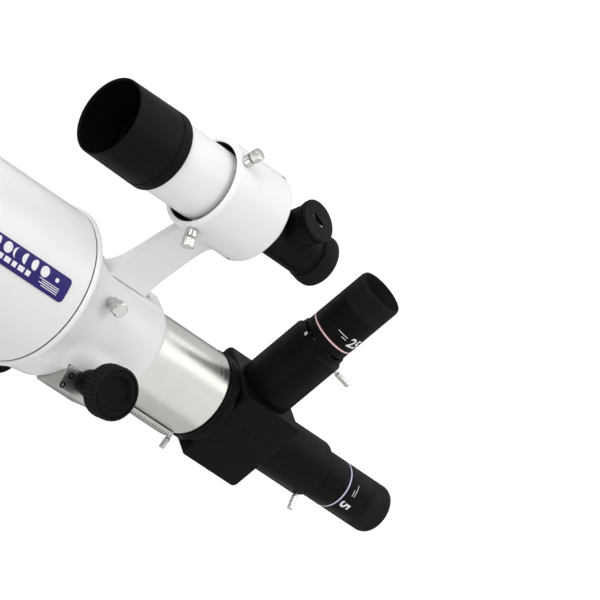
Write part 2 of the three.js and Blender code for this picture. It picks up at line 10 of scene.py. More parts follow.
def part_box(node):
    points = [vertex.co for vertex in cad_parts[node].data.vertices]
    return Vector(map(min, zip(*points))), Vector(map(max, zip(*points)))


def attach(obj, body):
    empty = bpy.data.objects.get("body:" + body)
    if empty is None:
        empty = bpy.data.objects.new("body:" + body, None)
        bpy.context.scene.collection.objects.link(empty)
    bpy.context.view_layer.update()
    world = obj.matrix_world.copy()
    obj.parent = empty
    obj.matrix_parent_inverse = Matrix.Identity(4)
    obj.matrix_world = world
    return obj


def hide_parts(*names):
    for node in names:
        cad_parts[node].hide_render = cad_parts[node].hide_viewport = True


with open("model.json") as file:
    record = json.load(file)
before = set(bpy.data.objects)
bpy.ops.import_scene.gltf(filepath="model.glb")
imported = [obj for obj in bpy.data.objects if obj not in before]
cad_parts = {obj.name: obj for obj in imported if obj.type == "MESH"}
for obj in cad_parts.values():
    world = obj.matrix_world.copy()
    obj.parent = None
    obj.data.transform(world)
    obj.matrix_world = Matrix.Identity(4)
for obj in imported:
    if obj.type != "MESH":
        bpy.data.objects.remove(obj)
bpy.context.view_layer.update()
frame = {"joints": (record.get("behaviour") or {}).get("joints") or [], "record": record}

bl_info = {
    "name": "Refractor telescope",
    "version": (1, 0, 0),
    "blender": (4, 5, 0),
    "location": "3D View > Sidebar > Telescope",
    "description": "Builds the fine surfaces of a refractor telescope around its packed frame",
    "category": "Add Mesh",
}

MM = 0.001
FINE = 144                        # steps round a middle-sized turned piece
LAMP_X = 117.4                    # lamp housing along the finder, in mm from the seam
LARGE = 192                       # steps round the largest turned pieces
GAP = 0.3                         # clearance between neighbouring pieces, in mm


def middle(node):
    low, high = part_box(node)
    return (Vector(low) + Vector(high)) / 2


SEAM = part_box("main_tube")[1][0] + GAP * MM
AXIS_Z = middle("main_tube").z


def span(name):
    """Front and rear station of a node along the optical axis, in mm from the seam."""
    return tuple((corner[0] - SEAM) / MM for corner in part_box(name))


def reach(name):
    """Radius of a node about the optical axis, in mm."""
    return (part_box(name)[1][2] - AXIS_Z) / MM


TUBE_R = reach("main_tube")
WALL = 2.0                        # main tube's wall, in mm
JOINTS = {joint["name"]: joint for joint in frame["joints"]}
TURN_TO_X = Matrix(((0, 0, 1, 0), (0, 1, 0, 0), (-1, 0, 0, 0), (0, 0, 0, 1)))


def linear(code):
    """sRGB hex colour as linear red, green and blue."""
    parts = [int(code[i:i + 2], 16) / 255 for i in (0, 2, 4)]
    return tuple(p / 12.92 if p <= 0.04045 else ((p + 0.055) / 1.055) ** 2.4 for p in parts)


def colour(name, code, words):
    return FloatVectorProperty(name=name, description=words, subtype="COLOR", size=3,
                               min=0, max=1, default=linear(code))


# ------------------------------------------------------------------ settings
class TelescopeFinishes(bpy.types.PropertyGroup):
    """Colours of the telescope's finishes."""

    enamel: colour("Enamel", "EDECEB", "Baked enamel of the tube, castings and finder")
    black_paint: colour("Black paint", "0B0A0B", "Satin paint of the finder and the flip mirror")
    anodised: colour("Anodised", "0A090B", "Black anodised ports, eyepieces and knobs")
    rubber: colour("Rubber", "0C0B0C", "Grips and eyecups")
    satin_chrome: colour("Satin chrome", "D8D6D0", "Turned and plated drawtube")
    nickel: colour("Nickel", "D2D1CD", "Plated thumbscrews and eyepiece barrels")
    steel: colour("Steel", "B9B8B4", "Rack, pinion and its bracket")
    alloy: colour("Alloy", "C9CACC", "Extruded dovetail plate")
    foil: colour("Label foil", "1D1068", "Printed foil of the name plate")
    ink: colour("Ink", "EDEBF0", "Light ink of the dials and the name plate")
    red_ring: colour("Red ring", "A8584E", "Ring line of the long eyepiece")
    blue_ring: colour("Blue ring", "5D6E96", "Ring line of the short eyepiece")


class TelescopeSizes(bpy.types.PropertyGroup):
    """Sizes of the small details, in metres."""

    edge: FloatProperty(name="Edge round", description="Rounding of machined edges",
                        default=0.4 * MM, unit="LENGTH")
    peel: FloatProperty(name="Enamel ripple", description="Width of one ripple in the enamel",
                        default=2.2 * MM, unit="LENGTH")
    knurl_depth: FloatProperty(name="Knurl depth", description="Depth of the thumbscrews' ribs",
                               default=0.14 * MM, unit="LENGTH")
    knurl_ribs: IntProperty(name="Knurl ribs", description="Ribs round a thumbscrew's head",
                            default=18, min=8)
    grip_ribs: IntProperty(name="Grip ribs", description="Ribs round a focus knob's grip",
                           default=36, min=8)


def finishes():
    return bpy.context.scene.telescope_finishes


def sizes():
    return bpy.context.scene.telescope_sizes


# ------------------------------------------------------------------ materials
def node(tree, kind, values=None, links=None, **options):
    """Adds one shader node with its settings, input values and links."""
    made = tree.nodes.new(kind)
    for key, value in options.items():
        setattr(made, key, value)
    for key, value in (values or {}).items():
        made.inputs[key].default_value = value
    for key, socket in (links or {}).items():
        tree.links.new(socket, made.inputs[key])
    return made


def per_metre(millimetres):
    """Noise scale that gives a feature of this size."""
    return 1 / (millimetres * MM)


def material(name, base, **surface):
    """A principled material with its shader, tree and object coordinates."""
    made = bpy.data.materials.new(name)
    made.use_nodes = True
    tree = made.node_tree
    shader = tree.nodes["Principled BSDF"]
    shader.inputs["Base Color"].default_value = (*base, 1)
    for key, value in surface.items():
        shader.inputs[key.replace("_", " ")].default_value = value
    made.diffuse_color = (*base, 1)
    place = node(tree, "ShaderNodeTexCoord").outputs["Object"]
    return made, tree, shader, place


def set_range(tree, shader, socket, source, low, high):
    """Drives one shader input between two values by a noise."""
    made = node(tree, "ShaderNodeMapRange", {"From Min": 0.3, "From Max": 0.7, "To Min": low,
                                             "To Max": high}, {"Value": source})
    tree.links.new(made.outputs["Result"], shader.inputs[socket])


def set_bump(tree, shader, source, depth_mm, strength=1.0):
    made = node(tree, "ShaderNodeBump", {"Distance": depth_mm * MM, "Strength": strength},
                {"Height": source})
    tree.links.new(made.outputs["Normal"], shader.inputs["Normal"])


def set_tint(tree, shader, source, base, other):
    """Lets the colour drift between two tones of the same finish."""
    ramp = node(tree, "ShaderNodeValToRGB", links={"Fac": source})
    ramp.color_ramp.elements[0].position = 0.35
    ramp.color_ramp.elements[0].color = (*base, 1)
    ramp.color_ramp.elements[1].position = 0.65
    ramp.color_ramp.elements[1].color = (*other, 1)
    tree.links.new(ramp.outputs["Color"], shader.inputs["Base Color"])


def scaled(base, factor):
    return tuple(min(1, part * factor) for part in base)


def baked_enamel():
    """Gloss enamel baked on aluminium: soft wide reflections with a faint sprayed ripple."""
    base = finishes().enamel
    made, tree, shader, place = material("baked_enamel", base, Roughness=0.34, IOR=1.5)
    ripple = node(tree, "ShaderNodeTexNoise", {"Scale": 1 / sizes().peel, "Detail": 2.0},
                  {"Vector": place}).outputs["Fac"]
    drift = node(tree, "ShaderNodeTexNoise", {"Scale": per_metre(60), "Detail": 2.0},
                 {"Vector": place}).outputs["Fac"]
    set_range(tree, shader, "Roughness", drift, 0.29, 0.38)
    set_tint(tree, shader, drift, base, scaled(base, 0.985))
    set_bump(tree, shader, ripple, 0.02, 0.5)
    return made


def satin_black_paint():
    """Satin paint on a cast housing: fine speckle that breaks up the highlights."""
    base = finishes().black_paint
    made, tree, shader, place = material("satin_black_paint", base, Roughness=0.42, Specular_IOR_Level=0.06)
    grain = node(tree, "ShaderNodeTexNoise", {"Scale": per_metre(0.9), "Detail": 3.0},
                 {"Vector": place}).outputs["Fac"]
    drift = node(tree, "ShaderNodeTexNoise", {"Scale": per_metre(25), "Detail": 2.0},
                 {"Vector": place}).outputs["Fac"]
    set_range(tree, shader, "Roughness", drift, 0.38, 0.5)
    set_tint(tree, shader, grain, scaled(base, 0.8), scaled(base, 1.5))
    set_bump(tree, shader, grain, 0.06, 0.6)
    return made


def black_anodised_aluminium():
    """Black anodised aluminium: a fine even grain under a low satin sheen."""
    base = finishes().anodised
    made, tree, shader, place = material("black_anodised_aluminium", base, Roughness=0.4,
                                         Specular_IOR_Level=0.06)
    grain = node(tree, "ShaderNodeTexNoise", {"Scale": per_metre(0.7), "Detail": 2.0},
                 {"Vector": place}).outputs["Fac"]
    wear = node(tree, "ShaderNodeTexNoise", {"Scale": per_metre(18), "Detail": 4.0},
                {"Vector": place}).outputs["Fac"]
    set_range(tree, shader, "Roughness", wear, 0.34, 0.5)
    set_tint(tree, shader, grain, scaled(base, 0.85), scaled(base, 1.6))
    set_bump(tree, shader, grain, 0.03, 0.5)
    return made


def moulded_rubber():
    """Moulded rubber: matt, with a pebbled skin and a dusty bloom."""
    base = finishes().rubber
    made, tree, shader, place = material("moulded_rubber", base, Roughness=0.72,
                                         Specular_IOR_Level=0.14)
    pebble = node(tree, "ShaderNodeTexVoronoi", {"Scale": per_metre(0.8)},
                  {"Vector": place}).outputs["Distance"]
    bloom = node(tree, "ShaderNodeTexNoise", {"Scale": per_metre(9), "Detail": 4.0},
                 {"Vector": place}).outputs["Fac"]
    set_range(tree, shader, "Roughness", bloom, 0.6, 0.85)
    set_tint(tree, shader, bloom, scaled(base, 0.9), scaled(base, 1.9))
    set_bump(tree, shader, pebble, 0.05, 0.7)
    return made


def turned_metal(name, base, roughness, line_mm, depth_mm):
    """Plated or plain metal off the lathe: fine lines round the axis draw the light out."""
    made, tree, shader, place = material(name, base, Metallic=1.0, Roughness=roughness)
    lines = node(tree, "ShaderNodeMapping", {"Scale": (1, 0.04, 0.04)}, {"Vector": place})
    groove = node(tree, "ShaderNodeTexNoise", {"Scale": per_metre(line_mm), "Detail": 2.0},
                  {"Vector": lines.outputs["Vector"]}).outputs["Fac"]
    smear = node(tree, "ShaderNodeTexNoise", {"Scale": per_metre(22), "Detail": 3.0},
                 {"Vector": place}).outputs["Fac"]
    set_range(tree, shader, "Roughness", groove, roughness * 0.88, roughness * 1.15)
    set_tint(tree, shader, smear, base, scaled(base, 0.94))
    set_bump(tree, shader, groove, depth_mm, 0.4)
    return made


def satin_chrome():
    """Satin chrome plate over a turned tube: broad bright and dark bands along it."""
    return turned_metal("satin_chrome", finishes().satin_chrome, 0.3, 2.4, 0.0004)


def bright_nickel():
    """Bright nickel plate: sharp small reflections."""
    return turned_metal("bright_nickel", finishes().nickel, 0.2, 1.0, 0.001)


def machined_steel():
    """Bare machined steel: dull grey with cutter marks."""
    return turned_metal("machined_steel", finishes().steel, 0.36, 0.4, 0.01)


def extruded_alloy():
    """Clear anodised extrusion: soft silver with die lines along its length."""
    base = finishes().alloy
    made, tree, shader, place = material("extruded_alloy", base, Metallic=1.0, Roughness=0.34)
    lines = node(tree, "ShaderNodeMapping", {"Scale": (0.03, 1, 1)}, {"Vector": place})
    streak = node(tree, "ShaderNodeTexNoise", {"Scale": per_metre(0.8), "Detail": 3.0},
                  {"Vector": lines.outputs["Vector"]}).outputs["Fac"]
    set_range(tree, shader, "Roughness", streak, 0.28, 0.42)
    set_tint(tree, shader, streak, base, scaled(base, 0.9))
    set_bump(tree, shader, streak, 0.01, 0.5)
    return made


def coated_glass():
    """Coated optical glass: clear, with a tint that drifts from green to violet."""
    made, tree, shader, place = material("coated_glass", linear("F2F6F4"), Roughness=0.02,
                                         IOR=1.52, Transmission_Weight=1.0)
    haze = node(tree, "ShaderNodeTexNoise", {"Scale": per_metre(12), "Detail": 2.0},
                {"Vector": place}).outputs["Fac"]
    set_range(tree, shader, "Roughness", haze, 0.0, 0.04)
    set_tint(tree, shader, haze, linear("E4F0EA"), linear("EDE6F4"))
    return made


def silvered_glass():
    """First-surface mirror: silver under a hard clear coat."""
    made, tree, shader, place = material("silvered_glass", linear("EEF0F2"), Metallic=1.0,
                                         Roughness=0.03)
    haze = node(tree, "ShaderNodeTexNoise", {"Scale": per_metre(15), "Detail": 2.0},
                {"Vector": place}).outputs["Fac"]
    set_range(tree, shader, "Roughness", haze, 0.02, 0.06)
    return made


def printed_foil(name, base, roughness=0.36):
    """Screen-printed foil or ink: flat colour with a slight emboss."""
    made, tree, shader, place = material(name, base, Roughness=roughness,
                                         Specular_IOR_Level=0.25)
    fleck = node(tree, "ShaderNodeTexNoise", {"Scale": per_metre(1.2), "Detail": 3.0},
                 {"Vector": place}).outputs["Fac"]
    set_tint(tree, shader, fleck, scaled(base, 0.9), scaled(base, 1.1))
    set_bump(tree, shader, fleck, 0.01, 0.3)
    return made


def studio_paper(name, code):
    """Seamless paper: flat and very matt."""
    made, tree, shader, place = material(name, linear(code), Roughness=0.95)
    fibre = node(tree, "ShaderNodeTexNoise", {"Scale": per_metre(3), "Detail": 3.0},
                 {"Vector": place}).outputs["Fac"]
    set_bump(tree, shader, fibre, 0.05, 0.2)
    return made


MAKERS = {
    "enamel": baked_enamel,
    "paint": satin_black_paint,
    "anodised": black_anodised_aluminium,
    "rubber": moulded_rubber,
    "satin_chrome": satin_chrome,
    "nickel": bright_nickel,
    "steel": machined_steel,
    "alloy": extruded_alloy,
    "glass": coated_glass,
    "mirror": silvered_glass,
    "foil": lambda: printed_foil("printed_foil", finishes().foil),
    "ink": lambda: printed_foil("light_ink", finishes().ink, 0.5),
    "red_ink": lambda: printed_foil("red_ink", finishes().red_ring, 0.5),
    "blue_ink": lambda: printed_foil("blue_ink", finishes().blue_ring, 0.5),
}
made_finishes = {}


def finish(key):
    if key not in made_finishes:
        made_finishes[key] = MAKERS[key]()
    return made_finishes[key]


# ------------------------------------------------------------------ placing
def on_axis():
    """Optical axis: local +Z runs towards the eyepieces, from the seam of tube and focuser."""
    return Matrix.Translation((SEAM, 0, AXIS_Z)) @ TURN_TO_X


def on_finder():
    centre = middle("finder_tube")
    return Matrix.Translation((SEAM, centre.y, centre.z)) @ TURN_TO_X


def on_lamp():
    """Axis of the finder's lamp housing, outwards from the finder's own axis."""
    start = on_finder().translation + Vector((LAMP_X * MM, 0, 0))
    return along(start, JOINTS["finder_lamp_cap_turn"]["axis"])


def in_plane(lean, centre=None):
    """Frame on an axis with +X along it and +Z turned from up towards the near side."""
    start = centre or Vector((SEAM, 0, AXIS_Z))
    return Matrix.Translation(start) @ Matrix.Rotation(radians(lean), 4, "X")


def side_angle(axis):
    """Angle of an axis from up towards the near side, in degrees."""
    return degrees(atan2(-axis[1], axis[2]))


def along(point, direction):
    """Frame at a point with +Z along a direction."""
    turn = Vector(direction).normalized().to_track_quat("Z", "Y").to_matrix().to_4x4()
    return Matrix.Translation(point) @ turn


def at_joint(name):
    return along(JOINTS[name]["pos_m"], JOINTS[name]["axis"])


# ------------------------------------------------------------------ mesh tools
def piece(name, mesh, key, body, replaced=(), sharp=35):
    """Puts a mesh into the scene as a finished piece that rides on a body."""
    made = bpy.data.objects.new(name, mesh)
    bpy.context.scene.collection.objects.link(made)
    mesh.materials.append(finish(key))
    mesh.shade_smooth()
    mesh.set_sharp_from_angle(angle=radians(sharp))
    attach(made, body)
    if replaced:
        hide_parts(*replaced)
    return made


def rounded(profile, radius):
    """Replaces each corner of a profile by a short curve; points on the axis stay."""
    out = []
    count = len(profile)
    closed = profile[0][1] > 0
    for i, point in enumerate(profile):
        ends = not closed and i in (0, count - 1)
        if ends or point[1] < 1e-6:
            out.append(point)
            continue
        p = Vector(point)
        before = Vector(profile[i - 1]) - p
        after = Vector(profile[(i + 1) % count]) - p
        if before.length < 1e-6 or after.length < 1e-6:
            continue
        if before.angle(after) > radians(172):
            out.append(point)
            continue
        reach = min(radius, before.length * 0.45, after.length * 0.45)
        start = p + before.normalized() * reach
        end = p + after.normalized() * reach
        for step in (0, 0.25, 0.5, 0.75, 1):
            a = start.lerp(p, step)
            b = p.lerp(end, step)
            out.append(tuple(a.lerp(b, step)))
    return out


def lathe(profile, place, steps=FINE, ribs=0, depth=0.0, ribbed=None):
    """Turned mesh from [along, radius] pairs in mm; the outside runs with along increasing.

    Points whose along value lies in the ribbed span carry ribs of the given depth.
    """
    mesh = bpy.data.meshes.new("turned")
    verts = []
    faces = []
    closed = profile[0][1] > 1e-6
    rings = []
    for z, radius in profile:
        if radius < 1e-6:
            verts.append(place @ Vector((0, 0, z * MM)))
            rings.append([len(verts) - 1])
            continue
        ring = []
        cut = depth if ribbed and ribbed[0] <= z <= ribbed[1] else 0
        for i in range(steps):
            angle = 2 * pi * i / steps
            r = radius - cut * (1 - abs(sin(ribs * angle / 2)) ** 0.6) if cut else radius
            verts.append(place @ Vector((r * cos(angle) * MM, r * sin(angle) * MM, z * MM)))
            ring.append(len(verts) - 1)
        rings.append(ring)
    pairs = list(zip(rings, rings[1:]))
    if closed:
        pairs.append((rings[-1], rings[0]))
    for low, high in pairs:
        for i in range(steps):
            j = (i + 1) % steps
            if len(low) == 1 and len(high) == 1:
                continue
            if len(low) == 1:
                faces.append((low[0], high[j], high[i]))
            elif len(high) == 1:
                faces.append((low[i], low[j], high[0]))
            else:
                faces.append((low[i], low[j], high[j], high[i]))
    mesh.from_pydata(verts, [], faces)
    mesh.update()
    return mesh


def drill(start, end, radius, place, steps=48):
    """Straight round cutter along an axis."""
    return lathe([(start, 0), (start, radius), (end, radius), (end, 0)], place, steps)


def rounded_outline(x0, x1, y0, y1, radius, steps=8):
    """Rectangle with round corners, anticlockwise."""
    points = []
    for cx, cy, start in ((x1 - radius, y0 + radius, -90), (x1 - radius, y1 - radius, 0),
                          (x0 + radius, y1 - radius, 90), (x0 + radius, y0 + radius, 180)):
        for i in range(steps + 1):
            angle = radians(start + 90 * i / steps)
            points.append((cx + radius * cos(angle), cy + radius * sin(angle)))
    return points


def loft(sections, place):
    """Closed mesh through sections of equal point counts; each is a list of 3-D points in mm."""
    mesh = bpy.data.meshes.new("lofted")
    verts = [place @ (Vector(point) * MM) for section in sections for point in section]
    count = len(sections[0])
    faces = []
    for k in range(len(sections) - 1):
        for i in range(count):
            j = (i + 1) % count
            a, b = k * count, (k + 1) * count
            faces.append((a + i, a + j, b + j, b + i))
    faces.append(tuple(reversed(range(count))))
    top = (len(sections) - 1) * count
    faces.append(tuple(range(top, top + count)))
    mesh.from_pydata(verts, [], faces)
    mesh.update()
    body = bmesh.new()
    body.from_mesh(mesh)
    bmesh.ops.recalc_face_normals(body, faces=body.faces)
    body.to_mesh(mesh)
    body.free()
    return mesh


def slab(x0, x1, y0, y1, z0, z1, place, corner=2.0, edge=0.5):
    """Block with round corners seen along Z and softened rims."""
    sections = []
    for z, inset in ((z0, edge), (z0 + edge * 0.3, edge * 0.3), (z0 + edge, 0),
                     (z1 - edge, 0), (z1 - edge * 0.3, edge * 0.3), (z1, edge)):
        outline = rounded_outline(x0 + inset, x1 - inset, y0 + inset, y1 - inset,
                                  max(corner - inset, 0.1))
        sections.append([(x, y, z) for x, y in outline])
    return loft(sections, place)


def combine(first, others, operation):
    """Boolean of one mesh with others, in order, as a new mesh."""
    base = bpy.data.objects.new("work", first)
    bpy.context.scene.collection.objects.link(base)
    tools = []
    for mesh in others:
        tool = bpy.data.objects.new("tool", mesh)
        bpy.context.scene.collection.objects.link(tool)
        tools.append(tool)
        change = base.modifiers.new("cut", "BOOLEAN")
        change.operation = operation
        change.solver = "EXACT"
        change.object = tool
    bpy.context.view_layer.update()
    graph = bpy.context.evaluated_depsgraph_get()
    out = bpy.data.meshes.new_from_object(base.evaluated_get(graph))
    for thing in [base, *tools]:
        bpy.data.objects.remove(thing)
    if not out.polygons:
        raise RuntimeError("a boolean left nothing")
    return out


def joined(meshes):
    """Several meshes as one, each still a closed shell of its own."""
    body = bmesh.new()
    for mesh in meshes:
        body.from_mesh(mesh)
    out = bpy.data.meshes.new("joined")
    body.to_mesh(out)
    body.free()
    return out


def bent_patch(extent, low, high, radius, place, thickness=0.12, rows=16, columns=None):
    """Thin patch wrapped round an axis; extent(s) gives its start and end along the axis.

    s runs round the axis as arc length in mm, from low to high, measured from local +Y.
    """
    columns = columns or 6
    layers = []
    for r in (radius, radius + thickness):
        grid = []
        for i in range(rows + 1):
            s = low + (high - low) * i / rows
            start, end = extent(s)
            angle = s / radius
            row = []
            for k in range(columns + 1):
                z = start + (end - start) * k / columns
                row.append(place @ (Vector((r * sin(angle), r * cos(angle), z)) * MM))
            grid.append(row)
        layers.append(grid)
    verts = [v for grid in layers for row in grid for v in row]
    width = columns + 1
    size = width * (rows + 1)
    faces = []
    for i in range(rows):
        for k in range(columns):
            a = i * width + k
            faces.append((a, a + 1, a + width + 1, a + width))
            b = a + size
            faces.append((b, b + width, b + width + 1, b + 1))
    rim = [(0, k) for k in range(columns)] + [(i, columns) for i in range(rows)]
    rim += [(rows, k) for k in range(columns, 0, -1)] + [(i, 0) for i in range(rows, 0, -1)]
    for n, (i, k) in enumerate(rim):
        j, m = rim[(n + 1) % len(rim)]
        a, b = i * width + k, j * width + m
        faces.append((a, a + size, b + size, b))
    mesh = bpy.data.meshes.new("patch")
    mesh.from_pydata(verts, [], faces)
    body = bmesh.new()
    body.from_mesh(mesh)
    bmesh.ops.remove_doubles(body, verts=body.verts, dist=1e-7)
    bmesh.ops.recalc_face_normals(body, faces=body.faces)
    body.to_mesh(mesh)
    body.free()
    return mesh


def disc_extent(centre, middle_s, radius, phase=1.0):
    """Extent of a disc, or of a moon phase where phase is under 1."""
    def extent(s):
        half = sqrt(max(radius ** 2 - (s - middle_s) ** 2, 0)) + 0.01
        return centre - half, centre + half * phase
    return extent


# ------------------------------------------------------------------ operators
FLOOR_Z = -3.0                    # metres; low, so that it stays out of the main view
STUDIO_CENTRE = Vector((SEAM + 0.1, 0, AXIS_Z))
VIEW_FORWARD = Vector((0.6265, 0.7707, 0.1161)).normalized()
ROUGH_UP = Vector((-0.4421, 0.2287, 0.8673))
VIEW_UP = (ROUGH_UP - VIEW_FORWARD * ROUGH_UP.dot(VIEW_FORWARD)).normalized()
VIEW_RIGHT = VIEW_FORWARD.cross(VIEW_UP)
CARD_DISTANCE = 2.0
CARD_LENGTH = 2.4
CARD_ALONG = 0.6265               # how far the drawtube throws its reflections back along X
CARD_ASIDE = 0.7794
LENS_SAG = 3.0


def flat_sheet(name, squares, half):
    """Flat square mesh of a number of squares each way."""
    sheet = bpy.data.meshes.new(name)
    grid = bmesh.new()
    bmesh.ops.create_grid(grid, x_segments=squares, y_segments=squares, size=half)
    grid.to_mesh(sheet)
    grid.free()
    return sheet


class TELESCOPE_OT_stage(bpy.types.Operator):
    """Adds the camera, the pale floor, the soft lights and the cards that shape reflections"""

    bl_idname = "telescope.stage"
    bl_label = "Studio"

    def execute(self, context):
        scene = context.scene
        self.camera(scene)
        scene.view_settings.view_transform = "Standard"
        scene.world = self.world()
        self.floor(scene)
        self.lights(scene)
        self.cards(scene)
        return {"FINISHED"}

    def camera(self, scene):
        """Long lens, low on the near side, looking slightly up with a rolled frame."""
        data = bpy.data.cameras.new("camera")
        data.lens = 408.2
        data.sensor_width = 36
        data.clip_end = 60
        camera = bpy.data.objects.new("camera", data)
        scene.collection.objects.link(camera)
        turn = Matrix((VIEW_RIGHT, VIEW_UP, -VIEW_FORWARD)).transposed().to_4x4()
        seat = Vector((SEAM - 2.7040, -3.5804, AXIS_Z - 0.4469))
        camera.matrix_world = Matrix.Translation(seat) @ turn
        scene.camera = camera

    def world(self):
        """White backdrop to look at, softer light to shine on the pieces."""
        world = bpy.data.worlds.new("studio")
        world.use_nodes = True
        tree = world.node_tree
        tree.nodes.clear()
        seen = node(tree, "ShaderNodeBackground", {"Color": (1, 1, 1, 1), "Strength": 1.1})
        fill = node(tree, "ShaderNodeBackground", {"Color": (0.97, 0.98, 1, 1), "Strength": 0.7})
        rays = node(tree, "ShaderNodeLightPath")
        mix = node(tree, "ShaderNodeMixShader", links={"Fac": rays.outputs["Is Camera Ray"],
                                                       1: fill.outputs[0], 2: seen.outputs[0]})
        node(tree, "ShaderNodeOutputWorld", links={"Surface": mix.outputs[0]})
        return world

    def floor(self, scene):
        ground = bpy.data.objects.new("floor", flat_sheet("floor", 8, 60))
        ground.location = (0, 0, FLOOR_Z)
        ground.data.materials.append(studio_paper("seamless_paper", "F4F3F1"))
        scene.collection.objects.link(ground)

    def lights(self, scene):
        lights = (("key", -0.3 * VIEW_RIGHT + 1.5 * VIEW_UP - 1.15 * VIEW_FORWARD, 1.5, 20),
                  ("side", 1.6 * VIEW_RIGHT + 0.1 * VIEW_UP - 0.9 * VIEW_FORWARD, 1.0, 7),
                  ("low", -1.2 * VIEW_RIGHT - 1.0 * VIEW_UP - 1.2 * VIEW_FORWARD, 1.4, 6))
        for name, offset, size, power in lights:
            lamp = bpy.data.lights.new(name, "AREA")
            lamp.shape = "DISK"
            lamp.size = size
            lamp.energy = power
            light = bpy.data.objects.new(name, lamp)
            light.matrix_world = along(STUDIO_CENTRE + offset, offset)
            scene.collection.objects.link(light)

    def cards(self, scene):
        """Cards that only glossy surfaces see; each draws one band along the drawtube."""
        black = studio_paper("black_card", "0B0B09")
        white = studio_paper("white_card", "FFFFFF")
        grey = studio_paper("grey_card", "FFFFFF")
        for paper, strength in ((white, 1.6), (grey, 0.95)):
            glow = paper.node_tree.nodes["Principled BSDF"].inputs
            glow["Base Color"].default_value = (0.1, 0.1, 0.1, 1)
            glow["Emission Color"].default_value = (1, 1, 1, 1)
            glow["Emission Strength"].default_value = strength
        cards = (("card_far", black, -68, 1.0), ("card_near", white, 30, 1.7),
                 ("card_front", grey, 122, 2.6), ("card_under", black, 262, 0.7))
        for name, paper, lean, width in cards:
            sheet = flat_sheet(name, 2, 0.5)
            sheet.materials.append(paper)
            card = bpy.data.objects.new(name, sheet)
            across = Vector((0, -cos(radians(lean)), -sin(radians(lean))))
            away = (CARD_ALONG * Vector((1, 0, 0))
                    + CARD_ASIDE * Vector((0, -sin(radians(lean)), cos(radians(lean)))))
            away.normalize()
            spread = Matrix((away.cross(across), across, away)).transposed().to_4x4()
            card.matrix_world = Matrix.Translation(STUDIO_CENTRE + away * CARD_DISTANCE) @ (
                spread @ Matrix.Diagonal((CARD_LENGTH, width, 1, 1)))
            for ray in ("camera", "diffuse", "shadow", "transmission", "volume_scatter"):
                setattr(card, f"visible_{ray}", False)
            scene.collection.objects.link(card)


def crown_lens(low, high, rim):
    """Profile of the front lens: a bulging front face and a gently curved back."""
    shares = [i / 8 for i in range(9)]
    front = [(low + LENS_SAG * t ** 2, rim * t) for t in shares]
    back = [(high - 0.2 - 0.6 * LENS_SAG * (1 - (1 - t) ** 2), rim * t) for t in reversed(shares)]
    return front + back


def flint_lens(low, high, rim):
    """Profile of the rear lens: both faces hollow."""
    shares = [i / 8 for i in range(9)]
    front = [(low + LENS_SAG * (1 - t ** 2), rim * t) for t in shares]
    back = [(high - 0.8 * LENS_SAG * (1 - t ** 2), rim * t) for t in reversed(shares)]
    return front + back


class TELESCOPE_OT_main_tube(bpy.types.Operator):
    """Builds the enamelled tube, the dew shield, the lens cell and the lenses"""

    bl_idname = "telescope.main_tube"
    bl_label = "Tube and objective"

    def execute(self, context):
        self.tube()
        self.dew_shield()
        self.lens_cell()
        self.lenses()
        return {"FINISHED"}

    def tube(self):
        low, high = span("main_tube")
        seam = high - 0.6
        # Thin dark rubber ring sunk in the seam between tube and focuser: painted shade, standing in for
        # the shade that falls into the narrow seam.
        seam_shade = [(seam + 0.05, TUBE_R - 1.5), (seam + 0.05, TUBE_R - 0.1),
                  (high + 0.25, TUBE_R - 0.1), (high + 0.25, TUBE_R - 1.5)]
        piece("tube_seam_painted_shade", lathe(seam_shade, on_axis(), LARGE), "rubber", "optical_tube")
        tube = rounded([(low, TUBE_R), (seam, TUBE_R), (seam, TUBE_R - WALL),
                        (low, TUBE_R - WALL)], 0.3)
        piece("tube_shell", lathe(tube, on_axis(), LARGE), "enamel", "optical_tube",
              ("main_tube",))

    def dew_shield(self):
        """Slides over the cell; flocked inside against stray light."""
        low, high = span("dew_shield")
        shade_r = reach("dew_shield")
        bore = shade_r - 2.7
        shade = rounded([(low, shade_r - 3.4), (low, shade_r), (low + 9, shade_r),
                         (low + 10, shade_r - 0.5), (low + 11, shade_r), (high, shade_r),
                         (high, bore), (low + 4, bore)], 0.6)
        piece("dew_shield_shell", lathe(shade, on_axis(), LARGE), "enamel", "optical_tube",
              ("dew_shield",))

        lining = rounded([(low + 3, bore - 0.15), (low + 3, bore + 0.3), (high - 16, bore + 0.3),
                          (high - 16, bore - 0.15)], 0.1)
        piece("dew_shield_flock", lathe(lining, on_axis(), LARGE), "rubber", "optical_tube")

    def lens_cell(self):
        low, high = span("objective_cell")
        cell_r = reach("objective_cell")
        tube_front = (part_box("main_tube")[0][0] - SEAM) / MM - 0.3
        glass_r = reach("objective_front_lens")
        spigot = TUBE_R - WALL - GAP
        cell = [(low, glass_r - 3), (low, cell_r)]
        for i in range(3):
            z = tube_front - 9 + 3 * i
            cell += [(z, cell_r), (z + 0.5, cell_r - 0.6), (z + 1.1, cell_r - 0.6),
                     (z + 1.6, cell_r)]
        cell += [(tube_front, cell_r), (tube_front, spigot), (high, spigot), (high, 50),
                 (tube_front - 7.7, 50), (tube_front - 7.7, glass_r + 0.3),
                 (low + 6, glass_r + 0.3), (low + 6, glass_r - 3)]
        piece("lens_cell", lathe(rounded(cell, 0.3), on_axis(), LARGE), "anodised", "optical_tube",
              ("objective_cell",))

    def lenses(self):
        glass_r = reach("objective_front_lens")
        for name, profile in (("objective_front_lens", crown_lens),
                              ("objective_rear_lens", flint_lens)):
            low, high = span(name)
            glass = lathe(profile(low, high, glass_r), on_axis(), 96)
            piece(f"{name}_glass", glass, "glass", "optical_tube", (name,))


